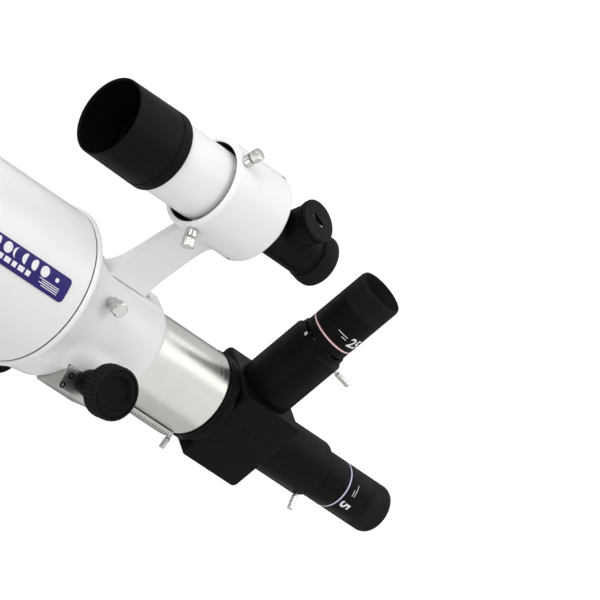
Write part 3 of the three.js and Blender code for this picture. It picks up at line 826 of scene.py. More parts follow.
class TELESCOPE_OT_label(bpy.types.Operator):
    """Builds the foil plate with its row of moon phases"""

    bl_idname = "telescope.label"
    bl_label = "Name plate"

    def execute(self, context):
        low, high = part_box("label_plate")
        start, end = (low[0] - SEAM) / MM, (high[0] - SEAM) / MM
        radius = TUBE_R + 0.3
        half = (high[2] - low[2]) / MM / 2
        lift = ((high[2] + low[2]) / 2 - AXIS_Z) / MM
        place = Matrix.Translation((SEAM, 0, AXIS_Z)) @ Matrix(
            ((0, 0, 1, 0), (0, -1, 0, 0), (1, 0, 0, 0), (0, 0, 0, 1)))
        corner = 3.0

        def plate(s):
            over = max(abs(s - lift) - (half - corner), 0)
            cut = corner - sqrt(max(corner ** 2 - over ** 2, 0))
            return start + cut, end - cut

        piece("label_foil", bent_patch(plate, lift - half, lift + half, radius, place, 0.4, 40, 24),
              "foil", "optical_tube", ("label_plate",))

        top = radius + 0.42
        marks = []
        phases = (1.0, 0.45, 0.0, -0.5, 1.0, 0.45, 0.0, -0.5, 1.0)
        for i, phase in enumerate(phases):
            centre = end - 24 - 9.0 * i
            marks.append(bent_patch(disc_extent(centre, lift + 3.4, 3.8, phase), lift - 0.4,
                                    lift + 7.2, top, place, 0.06, 20, 6))
        for i, width in enumerate((9, 6, 8, 5)):
            s = lift - 1.6 - 1.35 * i
            marks.append(bent_patch(lambda _s, w=width: (end - 17 - w, end - 7), s - 0.28,
                                    s + 0.28, top, place, 0.06, 2, 6))
        for i in range(7):
            centre = end - 36 - 6.6 * i
            reach = 2.7 if i % 2 else 2.0
            marks.append(bent_patch(lambda _s, c=centre, w=reach: (c - w, c + w), lift - 5.6,
                                    lift - 2.0, top, place, 0.06, 4, 3))
        marks.append(bent_patch(disc_extent(end - 12, lift + 2.9, 1.6), lift + 1.3, lift + 4.5,
                                top, place, 0.06, 12, 4))
        piece("label_print", joined(marks), "ink", "optical_tube")
        return {"FINISHED"}


def blend_max(a, b, width):
    """The larger of two values, with a fillet of this width where they meet."""
    near = max(width - abs(a - b), 0) / width
    return max(a, b) + near * near * width * 0.25


def through(points, value):
    """Smooth curve through points at a value."""
    if value <= points[0][0]:
        return points[0][1]
    for k in range(len(points) - 1):
        x0, y0 = points[k]
        x1, y1 = points[k + 1]
        if value <= x1:
            before = points[k - 1] if k else points[k]
            after = points[k + 2] if k + 2 < len(points) else points[k + 1]
            slope0 = (y1 - before[1]) / (x1 - before[0])
            slope1 = (after[1] - y0) / (after[0] - x0)
            t = (value - x0) / (x1 - x0)
            span = x1 - x0
            return ((2 * t ** 3 - 3 * t ** 2 + 1) * y0 + (t ** 3 - 2 * t ** 2 + t) * span * slope0
                    + (3 * t ** 2 - 2 * t ** 3) * y1 + (t ** 3 - t ** 2) * span * slope1)
    return points[-1][1]


def fade(value, start, end):
    """0 before start, 1 after end, smooth between."""
    t = min(max((value - start) / (end - start), 0), 1)
    return t * t * (3 - 2 * t)


CONE = ((4.4, 57), (12, 50.6), (24, 44.6), (34, 41.5), (48, 39.4), (66, 38), (88, 37.2))
FINDER_PLANE = 28
RAIL_TOP = 38.8
PINION_X = 50
PINION_TEETH = 12
PITCH_R = 4.2
BODY_END = 94.5
FOCUSER_BORE = 32.6


def casting_radius(x, lean):
    """Outer radius of the focuser casting at a station and an angle from up to the near side."""
    y, z = -sin(radians(lean)), cos(radians(lean))
    if x < 4.4:
        return 59.3 if x < 3.6 else 57
    radius = through(CONE, x) if x < 88 else 37.2
    if z < -0.2:
        reach = min(through(((2, 57.5), (27, 53.6), (62, 48.6), (70, 46)), x),
                    36 / -y if y < -1e-6 else 999, 33 / y if y > 1e-6 else 999)
        level = -reach * z
        show = fade(level, 16, 26) * (1 - fade(x, 58, 70))
        radius = blend_max(radius, radius + (reach - radius) * show, max(3 * show, 0.01))
        block = min(38.2 / -y if y < -1e-6 else 999, 33 / y if y > 1e-6 else 999, 40 / -z)
        show = fade(-block * z, 12, 27) * fade(x, 24, 33) * (1 - fade(x, 66, 70.5))
        radius = blend_max(radius, radius + (block - radius) * show, max(2 * show, 0.01))
    turn = radians(lean - FINDER_PLANE)
    if abs(lean - FINDER_PLANE) < 40:
        flat = RAIL_TOP / cos(turn)
        side = abs(flat * sin(turn))
        show = (1 - fade(side, 8.2, 10.5)) * fade(x, 19, 24) * (1 - fade(x, 88.5, 90.5))
        radius = radius + (max(flat, radius - 3) - radius) * show
    return radius


def casting_bore(x, lean):
    """Inner radius: a cone behind the flange, then the drawtube's bore and the rack's way."""
    y, z = -sin(radians(lean)), cos(radians(lean))
    wide = 51.5 + (FOCUSER_BORE - 51.5) * min(x / 22, 1)
    if z < -0.9 and abs(y / z) * 37.4 < 6.2:
        return max(wide, -37.4 / z)
    return wide


def on_pinion():
    """Pinion shaft's axis, towards the near side."""
    return along((SEAM + PINION_X * MM, 0, JOINTS["pinion_spin"]["pos_m"][2]), (0, -1, 0))


class TELESCOPE_OT_focuser(bpy.types.Operator):
    """Builds the focuser casting, its pinion bracket, the rack and the pinion"""

    bl_idname = "telescope.focuser"
    bl_label = "Focuser"

    def execute(self, context):
        self.casting()
        self.bearing_plate()
        self.pinion()
        self.rack()
        return {"FINISHED"}

    def casting(self):
        """Rings of points along the axis, outside then back through the bore, then drilled."""
        count = 288
        stations = [0.0, 0.25, 0.6, 3.1, 3.45, 3.6, 4.4]
        stations += [4.4 + (88 - 4.4) * i / 76 for i in range(1, 77)]
        stations += [89.5, 91, 92.2, 93.2, 93.9, 94.3, BODY_END]
        trims = {0.0: 0.5, 0.25: 0.18, 3.45: 0.15, 3.6: 0.5}
        for x in stations[-6:]:
            t = (x - 89.5) / (BODY_END - 89.5)
            trims[x] = 2.4 * (1 - sqrt(max(1 - t * t, 0)))
        outer = []
        for x in stations:
            row = []
            for i in range(count):
                lean = 360 * i / count
                lean = lean if lean < 180 else lean - 360
                row.append((x, lean, casting_radius(x, lean) - trims.get(x, 0)))
            outer.append(row)
        inner = []
        for x in (BODY_END, 80, 60, 40, 22, 12, 4, 0):
            inner.append([(x, row[1], casting_bore(x, row[1])) for row in outer[0]])
        place = Matrix.Translation((SEAM, 0, AXIS_Z))
        verts = []
        for row in outer + inner:
            for x, lean, radius in row:
                a = radians(lean)
                verts.append(place @ (Vector((x, -sin(a) * radius, cos(a) * radius)) * MM))
        total = len(outer) + len(inner)
        faces = []
        for k in range(total):
            low, high = k * count, ((k + 1) % total) * count
            for i in range(count):
                j = (i + 1) % count
                faces.append((low + i, low + j, high + j, high + i))
        mesh = bpy.data.meshes.new("casting")
        mesh.from_pydata(verts, [], faces)
        body = bmesh.new()
        body.from_mesh(mesh)
        bmesh.ops.recalc_face_normals(body, faces=body.faces)
        body.to_mesh(mesh)
        body.free()
        mesh = combine(mesh, [
            drill(-80, 80, 3.3, on_pinion()),
            slab(44, 56, -7, 7, -45.4, -30, place, 1, 0.2),
            slab(30.8, 69.2, -60, -12.2, -70, -35.7, place, 0.2, 0.05),
            slab(30.6, 90, -70, 70, -90, -47, place, 0.2, 0.05),
            drill(-22, 9, 2.1, at_joint("focus_lock_screw_turn"), 36),
            slab(26.5, 76.5, -5, 5, 35.4, 50, in_plane(FINDER_PLANE), 2, 0.2),
            drill(-8, 30, 2.1, at_joint("finder_clamp_screw_turn"), 36),
        ], "DIFFERENCE")
        piece("focuser_casting", mesh, "enamel", "optical_tube", ("focuser_body",), 40)

    def bearing_plate(self):
        low, high = (Vector(v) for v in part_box("pinion_bracket"))
        size = (high - low) / MM
        corner = Matrix.Translation(low) @ Matrix(
            ((1, 0, 0, 0), (0, 0, 1, 0), (0, 1, 0, 0), (0, 0, 0, 1)))
        plate = slab(0, size.x, 0, size.z, 0, size.y, corner, 2.5, 0.6)
        piece("bearing_plate", plate, "steel", "optical_tube", ("pinion_bracket",))
        shaded_heads = []
        # Four screw heads in black paint: the screws are real, but their black is painted shade, standing
        # in for the shade in the screw holes.
        for x, z in ((-16.2, 3.2), (-13.3, 11.4), (16.2, 3.2), (13.3, 11.4)):
            spot = Vector((SEAM + (PINION_X + x) * MM, low.y, low.z + z * MM))
            screw = [(-2, 0), (-2, 2.3), (0.28, 2.3), (0.28, 1.3), (-1, 1.1), (-1, 0)]
            shaded_heads.append(lathe(rounded(screw, 0.15), along(spot, (0, -1, 0)), 48))
        piece("bearing_plate_screws_painted_shade", joined(shaded_heads), "paint", "optical_tube")

    def pinion(self):
        gear = []
        for z, lift in ((-5, -0.2), (-4.7, 0), (4.7, 0), (5, -0.2)):
            ring = []
            for i in range(PINION_TEETH * 8):
                angle = 2 * pi * (i + 4) / (PINION_TEETH * 8)
                wave = cos(PINION_TEETH * angle - PINION_TEETH * 2 * pi * 4 / (PINION_TEETH * 8))
                radius = 3.95 - 0.85 * max(min(wave * 1.6, 1), -1) + lift
                ring.append((radius * sin(angle), radius * cos(angle), z))
            gear.append(ring)
        shaft = rounded([(-66, 0), (-66, 3), (66, 3), (66, 0)], 0.3)
        axle = on_pinion()
        piece("pinion_and_shaft", joined([loft(gear, axle), lathe(shaft, axle, 48)]), "steel",
              "pinion_unit", ("pinion_shaft",))

    def rack(self):
        low, high = (Vector(v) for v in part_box("focus_rack"))
        pitch = 2 * pi * PITCH_R / PINION_TEETH
        front, rear = (low.x - SEAM) / MM, (high.x - SEAM) / MM
        top = (high.z - AXIS_Z) / MM
        root, tip = -34.5, (low.z - AXIS_Z) / MM
        outline = [(rear, top), (front, top), (front, root)]
        first = int((front + 1.5 - PINION_X) / pitch)
        last = int((rear - 1.5 - PINION_X) / pitch)
        for tooth in range(first, last + 1):
            centre = PINION_X + tooth * pitch
            outline += [(centre - 0.72, root), (centre - 0.3, tip), (centre + 0.3, tip),
                        (centre + 0.72, root)]
        outline.append((rear, root))
        strip = [[(x, y, z) for x, z in outline] for y in (-5, 5)]
        piece("toothed_rack", loft(strip, Matrix.Translation((SEAM, 0, AXIS_Z))), "steel",
              "drawtube_unit", ("focus_rack",))


class TELESCOPE_OT_focus_knobs(bpy.types.Operator):
    """Builds the two focus knobs with their ribbed rubber grips"""

    bl_idname = "telescope.focus_knobs"
    bl_label = "Focus knobs"

    def execute(self, context):
        spot = Vector((SEAM + PINION_X * MM, 0, JOINTS["pinion_spin"]["pos_m"][2]))
        grip_r = (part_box("knob_grip_left")[1][2] - spot.z) / MM
        for side, sign in (("left", -1), ("right", 1)):
            low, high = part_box(f"knob_grip_{side}")
            near, far = sorted((abs(low[1]) / MM, abs(high[1]) / MM))
            hub_low, hub_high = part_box(f"focus_knob_{side}")
            hub = min(abs(hub_low[1]), abs(hub_high[1])) / MM
            place = along(spot, (0, sign, 0))
            core = [(hub, 3.3), (hub, 8.0), (hub + 1.5, 9.0), (hub + 6, 10.2),
                    (near - 2.2, 10.2), (near - 0.3, 12.6), (near - 0.3, grip_r - 2.6),
                    (far - 0.5, grip_r - 2.6), (far - 0.5, 12.4), (far - 1.6, 11.6),
                    (far - 3.4, 10), (far - 3.4, 0)]
            core[0] = (hub, 0)
            piece(f"knob_core_{side}", lathe(rounded(core, 0.7), place), "anodised",
                  "pinion_unit", (f"focus_knob_{side}",))
            ribs = sizes().grip_ribs
            grip = rounded([(near, grip_r - 2.3), (near, grip_r - 0.9), (near + 1.2, grip_r),
                            (far - 1.2, grip_r), (far, grip_r - 1.1), (far, grip_r - 2.3)], 0.5)
            piece(f"knob_rubber_{side}",
                  lathe(grip, place, ribs * 10, ribs, 1.0, (near + 0.9, far - 0.9)),
                  "rubber", "pinion_unit", (f"knob_grip_{side}",), 50)
        return {"FINISHED"}


class TELESCOPE_OT_drawtube(bpy.types.Operator):
    """Builds the chromed drawtube and its end ring"""

    bl_idname = "telescope.drawtube"
    bl_label = "Drawtube"

    def execute(self, context):
        low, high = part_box("drawtube")
        front, rear = (low[0] - SEAM) / MM, (high[0] - SEAM) / MM
        outer = (high[2] - AXIS_Z) / MM
        tube = rounded([(front, outer), (rear - 1.6, outer), (rear, outer - 0.5),
                        (rear, outer - 2.6), (front, outer - 2.6)], 0.5)
        piece("drawtube_sleeve", lathe(tube, on_axis(), LARGE), "satin_chrome", "drawtube_unit",
              ("drawtube",))
        low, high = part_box("drawtube_end_ring")
        front, rear = (low[0] - SEAM) / MM, (high[0] - SEAM) / MM
        outer = (high[2] - AXIS_Z) / MM
        ring = rounded([(front, 27.4), (front, outer), (front + 2.6, outer),
                        (front + 3.1, outer - 0.5), (front + 3.7, outer - 0.5),
                        (front + 4.2, outer), (rear - 1, outer), (rear, outer - 1),
                        (rear, 27.4)], 0.3)
        piece("drawtube_collar", lathe(ring, on_axis(), LARGE), "anodised", "drawtube_unit",
              ("drawtube_end_ring",))
        return {"FINISHED"}


def thumb_screw(name, node_name, joint, base, stem, tip, head_r, neck_z, collar=None):
    """Thumbscrew on its joint's axis; stations in mm from the joint's point along the axis."""
    ribs = sizes().knurl_ribs if head_r > 3 else sizes().knurl_ribs // 2
    steps = ribs * 12
    profile = [(base, 0), (base, stem)]
    if collar:
        start, end, radius = collar
        profile += [(start, stem), (start, radius), (end, radius), (end, stem)]
    profile += [(neck_z, stem), (neck_z, head_r - 0.5), (neck_z + 0.5, head_r),
                (tip - 0.6, head_r), (tip, head_r - 0.7), (tip, 0)]
    depth = sizes().knurl_depth / MM
    mesh = lathe(rounded(profile, 0.2), at_joint(joint), steps, ribs, depth,
                 (neck_z + 0.6, tip - 0.7))
    return piece(name, mesh, "nickel", body_of_node(node_name), (node_name,), 45)


def body_of_node(name):
    for body, nodes in frame["record"]["behaviour"]["bodies"].items():
        if name in nodes:
            return body
    raise RuntimeError(f"no body holds {name}")


class TELESCOPE_OT_thumb_screws(bpy.types.Operator):
    """Builds the plated thumbscrews of the finder, the focuser, the drawtube and the ports"""

    bl_idname = "telescope.thumb_screws"
    bl_label = "Thumbscrews"

    def execute(self, context):
        for side in ("top", "near", "far"):
            thumb_screw(f"aim_screw_{side}", f"finder_screw_{side}", f"finder_screw_{side}_turn",
                        -11.5, 2, 8.4, 4.5, 2.2, (-3.4, 1.0, 4.3))
        thumb_screw("lock_screw", "focus_lock_screw", "focus_lock_screw_turn",
                    -18.8, 2.4, 6.2, 5.5, -0.2, (-6, -1.6, 4.4))
        half = 5.6
        sunk = [(-half, 0), (-half + 0.8, 1.75), (half - 0.3, 1.75), (half, 1.45), (half, 0.9),
                (half - 2, 0.9), (half - 2, 0)]
        piece("rail_set_screw", lathe(rounded(sunk, 0.1), at_joint("finder_clamp_screw_turn"), 36),
              "nickel", body_of_node("finder_clamp_screw"), ("finder_clamp_screw",), 45)
        thumb_screw("drawtube_pin_screw", "drawtube_screw", "drawtube_screw_turn",
                    -12.4, 1.4, 4.6, 2.1, -3.8)
        thumb_screw("side_port_pin_screw", "side_port_screw", "side_port_screw_turn",
                    -11.7, 1.4, 7, 2.1, -4.6)
        thumb_screw("rear_port_pin_screw", "rear_port_screw", "rear_port_screw_turn",
                    -11.7, 1.4, 5.2, 2.1, -5.4)
        return {"FINISHED"}


class TELESCOPE_OT_finder_bracket(bpy.types.Operator):
    """Builds the finder's ring with its leaning arm, foot and a thin dark lining in its bore"""

    bl_idname = "telescope.finder_bracket"
    bl_label = "Finder bracket"

    def execute(self, context):
        front, rear, outer, bore = 36, 90, 33.5, 29.6
        offset = hypot(*(middle("finder_tube") - Vector((0, 0, AXIS_Z))).yz) / MM
        plane = in_plane(FINDER_PLANE)
        lift = plane @ Matrix.Translation((0, 0, offset * MM)) @ TURN_TO_X
        ring = rounded([(front, bore), (front, outer - 2), (front + 2.2, outer),
                        (rear - 1.6, outer), (rear, outer - 1.4), (rear, bore)], 1.0)
        shell = lathe(ring, lift, LARGE)

        sections = []
        steps = 36
        low, high = RAIL_TOP - 2.6, offset - bore - 1.2
        for k in range(steps + 1):
            t = k / steps
            z = low + (high - low) * t
            root = exp(-max(z - RAIL_TOP - 1.5, 0) / 7)
            crown = exp(-(high - z) / 2.4)
            thick = 3.6 + 5.0 * root + 5.0 * crown
            if z < RAIL_TOP:
                thick = 4.5
            lean = through(((RAIL_TOP, 0), (RAIL_TOP + 12, 4.2), (offset - outer - 8, 13.5),
                            (offset - outer, 17)), z)
            x0 = 33 + lean * 0.95 - 1.0 * crown
            x1 = 69 + lean * 0.72 + 5.0 * crown
            outline = rounded_outline(x0, x1, -thick, thick, min(2.2, thick * 0.6), 6)
            sections.append([(x, y, z) for x, y in outline])
        arm = loft(sections, plane)
        core = lathe([(front - 4, 0), (front - 4, bore), (rear + 4, bore), (rear + 4, 0)], lift,
                     LARGE)
        body = combine(combine(shell, [arm], "UNION"), [core], "DIFFERENCE")
        piece("finder_holder", body, "enamel", "optical_tube", ("finder_bracket",), 30)

        # A thin black lining along the whole bore, which shows as a dark crescent round the finder tube.
        dark_lining = rounded([(front + 0.9, bore - 0.35), (front + 0.9, bore + 0.25),
                         (rear - 0.5, bore + 0.25), (rear - 0.5, bore - 0.35)], 0.1)
        piece("finder_holder_dark_lining", lathe(dark_lining, lift, 144), "rubber", "optical_tube")
        low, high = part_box("finder_rubber_ring")
        start, end = (low[0] - SEAM) / MM, (high[0] - SEAM) / MM
        cushion = rounded([(start, 25.2), (start, bore - 0.6), (end, bore - 0.6), (end, 25.2)], 0.8)
        piece("finder_cushion_ring", lathe(cushion, on_finder(), 144), "rubber", "optical_tube",
              ("finder_rubber_ring",))

        centre = middle("finder_tube")
        sockets = []
        for lean in (176, 22, 268):
            direction = Vector((0, -sin(radians(lean)), cos(radians(lean))))
            spot = Vector((SEAM + 85 * MM, centre.y, centre.z)) + direction * outer * MM
            profile = [(-2, 0), (-2, 1.5), (0.12, 1.5), (0.12, 0.8), (-0.8, 0.8), (-0.8, 0)]
            sockets.append(lathe(rounded(profile, 0.1), along(spot, direction), 36))
        piece("finder_holder_sockets", joined(sockets), "paint", "optical_tube")
        return {"FINISHED"}


class TELESCOPE_OT_finder_scope(bpy.types.Operator):
    """Builds the finder's tube, dew shield, lamp housing, eyecup and lenses"""

    bl_idname = "telescope.finder_scope"
    bl_label = "Finder scope"

    def execute(self, context):
        self.barrel()
        self.hood()
        self.front_glass()
        self.eyepiece_housing()
        self.lamp_cover()
        self.eye_end()
        return {"FINISHED"}

    def barrel(self):
        axis = on_finder()
        tube = rounded([(-20, 24.4), (-20, 26.2), (83.7, 26.2), (83.7, 24.7), (88.7, 24.7),
                        (100, 20), (100, 15), (80, 22.6), (20, 24.4)], 0.6)
        piece("finder_barrel", lathe(tube, axis), "enamel", "optical_tube", ("finder_tube",))

    def hood(self):
        axis = on_finder()
        shade = [(-57.4, 27.3), (-57.4, 28.3), (-16.4, 28.8), (-15.9, 28.3), (-15.2, 28.3),
                 (-14.7, 28.9), (-7.2, 28.9), (-6, 28.2), (-6, 26.5), (-20.3, 26.5),
                 (-20.3, 25.2), (-23, 26.1)]
        shade.append((-56, 26.5))
        piece("finder_hood", lathe(rounded(shade, 0.35), axis), "paint", "finder_objective",
              ("finder_dew_shield",), 30)

    def front_glass(self):
        axis = on_finder()
        glass = [(-19.5 + 2.7 * (r / 24.1) ** 2, r) for r in (0, 4, 8, 12, 16, 20, 24.1)]
        glass += [(-9 - 1.5 * (r / 24.1) ** 2, r) for r in (24.1, 20, 16, 12, 8, 4, 0)]
        piece("finder_front_glass", lathe(glass, axis, 96), "glass", "finder_objective",
              ("finder_front_lens",))
        retainer = rounded([(-23.4, 21.6), (-23.4, 25.6), (-21, 25.2), (-20.6, 21.6)], 0.3)
        piece("finder_glass_retainer", lathe(retainer, axis), "anodised", "finder_objective")

    def eyepiece_housing(self):
        """Tapered housing with a neck for the lamp, bored through."""
        axis = on_finder()
        lamp = on_lamp()
        rear = rounded([(100.3, 12), (100.3, 19.4), (103, 19.2), (109, 16.7), (112, 16.5),
                        (139, 16.5), (139.6, 16.0), (141.4, 16.0), (142, 16.5), (143, 16.5),
                        (143, 14.6), (147, 14.6), (147, 12)], 0.5)
        neck = [(6, 0), (6, 13.6), (14, 13.7), (17, 13.8), (25, 13.8), (25.6, 13.4), (26.2, 13.4),
                (26.8, 14.5), (29.6, 15.2), (29.6, 0)]
        housing = combine(lathe(rear, axis, 120), [lathe(rounded(neck, 0.4), lamp, 120)], "UNION")
        core = lathe([(95, 0), (95, 12.9), (141, 12.9), (141, 11.3), (160, 11.3), (160, 0)], axis, 96)
        housing = combine(housing, [core], "DIFFERENCE")
        piece("finder_eyepiece_housing", housing, "paint", "optical_tube",
              ("finder_rear_body",), 30)

    def lamp_cover(self):
        """Screw cover with a slot for a coin, where a metal contact shows."""
        lamp = on_lamp()
        lid = [(29.9, 0), (29.9, 14.6), (30.3, 15.2), (31.7, 15.2), (32.4, 14.3), (32.4, 0)]
        cap = lathe(rounded(lid, 0.3), lamp, 120)
        slot_turn = lamp @ Matrix.Rotation(radians(62), 4, "Z")
        slot_place = slot_turn @ Matrix.Translation((0, 0, 38.6 * MM)) @ TURN_TO_X
        coin = lathe(rounded([(-1.9, 0), (-1.9, 8.4), (1.9, 8.4), (1.9, 0)], 0.3), slot_place, 96)
        cap = combine(cap, [coin], "DIFFERENCE")
        piece("lamp_cover", cap, "paint", "finder_lamp_cover", ("finder_lamp_cap",), 30)
        floor = []
        for i in range(13):
            a = radians(-38 + 76 * i / 12)
            r0, r1 = 8.36, 8.22
            floor.append([(x, r * sin(a), -r * cos(a))
                          for x, r in ((-1.8, r0), (0.3, r0), (0.3, r1), (-1.8, r1))])
        shine = slot_turn @ Matrix.Translation((0, 0, 38.6 * MM))
        piece("lamp_cover_contact", loft(floor, shine), "steel", "finder_lamp_cover")

    def eye_end(self):
        axis = on_finder()
        cup = [(143.4, 14.9), (143.4, 16.9), (144.2, 17.4), (147, 17.8), (151, 18.6),
               (155.4, 18.5), (156.8, 17.4), (157, 16.2), (155.4, 15.2), (147.7, 11.5),
               (147.3, 14.9)]
        piece("finder_rubber_cup", lathe(rounded(cup, 0.5), axis), "rubber",
              "finder_eyecup_turner", ("finder_eyecup",))
        lens = [(141.6, 0), (142.0, 6), (142.6, 10.9), (145.4, 10.9), (146.1, 6), (146.4, 0)]
        piece("finder_eye_glass", lathe(lens, axis, 72), "glass", "optical_tube",
              ("finder_eye_lens",))


FLIP_TURN = side_angle(JOINTS["eyepiece_25_slide"]["axis"])
BOX_FRONT, BOX_REAR = span("flip_box")
BOX_HALF = 26.2                   # half the box's width across its own plane
BOX_LOW = -31.7
BOX_HIGH = 31.5
BOX_WALL = 3
PORT_X = 204.7                    # side port's axis, from the seam
PORT_R = 21.1
PORT_BORE = 16.2
SIDE_PORT_END = 86                # from the optical axis
REAR_PORT_END = 288               # from the seam


def flip_plane():
    """The flip mirror's own plane: local +Z runs up the side port."""
    return in_plane(FLIP_TURN)


def flip_axis():
    return flip_plane() @ TURN_TO_X


def side_port_place():
    return flip_plane() @ Matrix.Translation((PORT_X * MM, 0, 0))


class TELESCOPE_OT_flip_mirror(bpy.types.Operator):
    """Builds the flip mirror's box, its ports, its mirror and its lever knob"""

    bl_idname = "telescope.flip_mirror"
    bl_label = "Flip mirror"

    def execute(self, context):
        self.nosepiece()
        self.housing()
        self.relief()
        self.side_port()
        self.rear_port()
        self.lever_knob()
        self.mirror()
        return {"FINISHED"}

    def nosepiece(self):
        nose_low, nose_high = span("flip_nose")
        nose = rounded([(nose_low, 24.6), (nose_low, 27.1), (nose_high, 27.1),
                        (nose_high, 24.6)], 0.4)
        piece("flip_nosepiece", lathe(nose, flip_axis()), "anodised", "flip_unit", ("flip_nose",))

    def housing(self):
        """Box with softened edges, hollowed and opened for the nose, the ports and the hinge."""
        edge = 1.1
        side = ((0, edge), (0.12, edge * 0.55), (0.4, edge * 0.2), (edge, 0))
        rows = [(depth - BOX_HALF, inset) for depth, inset in side]
        rows += [(BOX_HALF - depth, inset) for depth, inset in reversed(side)]
        sections = []
        for y, inset in rows:
            outline = rounded_outline(BOX_FRONT + inset, BOX_REAR - inset, BOX_LOW + inset,
                                      BOX_HIGH - inset, 3.4, 8)
            sections.append([(x, y, z) for x, z in outline])
        shell = loft(sections, flip_plane())
        inside = BOX_HALF - BOX_WALL
        cutters = [slab(BOX_FRONT + BOX_WALL, BOX_REAR - BOX_WALL, -inside, inside,
                        BOX_LOW + BOX_WALL, BOX_HIGH - BOX_WALL, flip_plane(), 1.5, 0.4),
                   drill(BOX_FRONT - 5, BOX_FRONT + 9, 22, flip_axis(), 96),
                   drill(BOX_REAR - 9, BOX_REAR + 5, PORT_BORE, flip_axis(), 96),
                   drill(10, BOX_HIGH + 5, PORT_BORE, side_port_place(), 96)]
        hinge_axis = at_joint("flip_mirror_swing")
        cutters.append(drill(0, 60, 3.1, hinge_axis, 48))
        shell = combine(shell, cutters, "DIFFERENCE")
        piece("flip_housing", shell, "paint", "flip_unit", ("flip_box",), 30)

    def relief(self):
        """Three raised bars on the near face."""
        relief = []
        face = flip_plane() @ Matrix.Translation((PORT_X * MM, -BOX_HALF * MM, 8.5 * MM)) @ Matrix(
            ((1, 0, 0, 0), (0, 0, -1, 0), (0, 1, 0, 0), (0, 0, 0, 1)))
        for k in range(3):
            tall = 1.6 + 0.9 * k
            relief.append(slab(-8 + 6.2 * k, -4 + 6.2 * k, -tall, tall, -0.4, 0.3, face, 0.8,
                               0.25))
        piece("flip_housing_relief", joined(relief), "paint", "flip_unit")

    def side_port(self):
        side = [(BOX_HIGH + 0.3, PORT_BORE), (BOX_HIGH + 0.3, PORT_R), (SIDE_PORT_END - 5.6, PORT_R),
                (SIDE_PORT_END - 4.4, 19.2), (SIDE_PORT_END, 18.9), (SIDE_PORT_END, PORT_BORE)]
        hole = drill(-20, 12, 1.7, at_joint("side_port_screw_turn"), 36)
        side = combine(lathe(rounded(side, 0.4), side_port_place()), [hole], "DIFFERENCE")
        piece("side_port_sleeve", side, "anodised", "flip_unit", ("side_port",))

        stud = 19.1 * radians(258)
        patch = bent_patch(lambda _s: (SIDE_PORT_END - 3.4, SIDE_PORT_END - 0.8), stud - 1.1,
                           stud + 1.1, 19.1, side_port_place(), 0.18)
        piece("side_port_stud", patch, "nickel", "flip_unit")

    def rear_port(self):
        back = [(BOX_REAR + 0.3, PORT_BORE), (BOX_REAR + 0.3, PORT_R), (REAR_PORT_END - 2.6, PORT_R),
                (REAR_PORT_END, 18.8), (REAR_PORT_END, PORT_BORE)]
        hole = drill(-20, 12, 1.7, at_joint("rear_port_screw_turn"), 36)
        back = combine(lathe(rounded(back, 0.4), flip_axis()), [hole], "DIFFERENCE")
        piece("rear_port_sleeve", back, "anodised", "flip_unit", ("rear_port",))

    def lever_knob(self):
        hinge_axis = at_joint("flip_mirror_swing")
        knob = [(33.5, 0), (33.5, 2.9), (26.6, 2.9), (26.6, 9.2), (28.2, 11), (36.4, 11),
                (37.6, 9.8), (37.6, 0)]
        piece("flip_lever_knob", lathe(rounded(knob, 0.4), hinge_axis, 180, 30, 0.5, (28.4, 36.2)),
              "anodised", "flip_mirror_unit", ("flip_knob",), 45)

    def mirror(self):
        hinge_axis = at_joint("flip_mirror_swing")
        hinge = Vector(JOINTS["flip_mirror_swing"]["pos_m"])
        tilt = Matrix.Translation(hinge) @ Matrix.Rotation(radians(FLIP_TURN), 4, "X") @ \
            Matrix.Rotation(radians(-45), 4, "Y")
        arm = slab(-44.6, 0, -18, 18, -1.4, 1.4, tilt, 4, 0.4)
        pin = lathe(rounded([(-20, 0), (-20, 2.6), (33, 2.6), (33, 0)], 0.3), hinge_axis, 48)
        piece("flip_mirror_arm", joined([arm, pin]), "anodised", "flip_mirror_unit",
              ("flip_mirror_holder",))
        piece("flip_mirror_plate", slab(-44.4, -7.5, -16.5, 16.5, 1.7, 3.9, tilt, 6, 0.4),
              "mirror", "flip_mirror_unit", ("flip_mirror",))


def numeral(words, size, place, radius, station, arc):
    """A number wrapped round an eyepiece; arc is in mm round the flip_axis() from flip_plane() +Y."""
    curve = bpy.data.curves.new("numeral", "FONT")
    curve.body = words
    curve.size = size
    curve.align_x = "CENTER"
    curve.align_y = "CENTER"
    curve.offset = 0.02 * size
    shape = bpy.data.objects.new("numeral", curve)
    bpy.context.scene.collection.objects.link(shape)
    bpy.context.view_layer.update()
    mesh = bpy.data.meshes.new_from_object(
        shape.evaluated_get(bpy.context.evaluated_depsgraph_get()))
    bpy.data.objects.remove(shape)
    body = bmesh.new()
    body.from_mesh(mesh)
    bmesh.ops.remove_doubles(body, verts=body.verts, dist=1e-5)
    bmesh.ops.triangulate(body, faces=body.faces)
    bmesh.ops.subdivide_edges(body, edges=body.edges, cuts=2, use_grid_fill=True)
    made = bmesh.ops.extrude_face_region(body, geom=body.faces[:])
    for vert in made["geom"]:
        if isinstance(vert, bmesh.types.BMVert):
            vert.co.z += 0.08
    for vert in body.verts:
        x, y, lift = vert.co
        angle = (arc - x) / radius
        r = radius + 0.04 + lift
        vert.co = place @ (Vector((r * sin(angle), r * cos(angle), station + y)) * MM)
    bmesh.ops.recalc_face_normals(body, faces=body.faces)
    body.to_mesh(mesh)
    body.free()
    return mesh


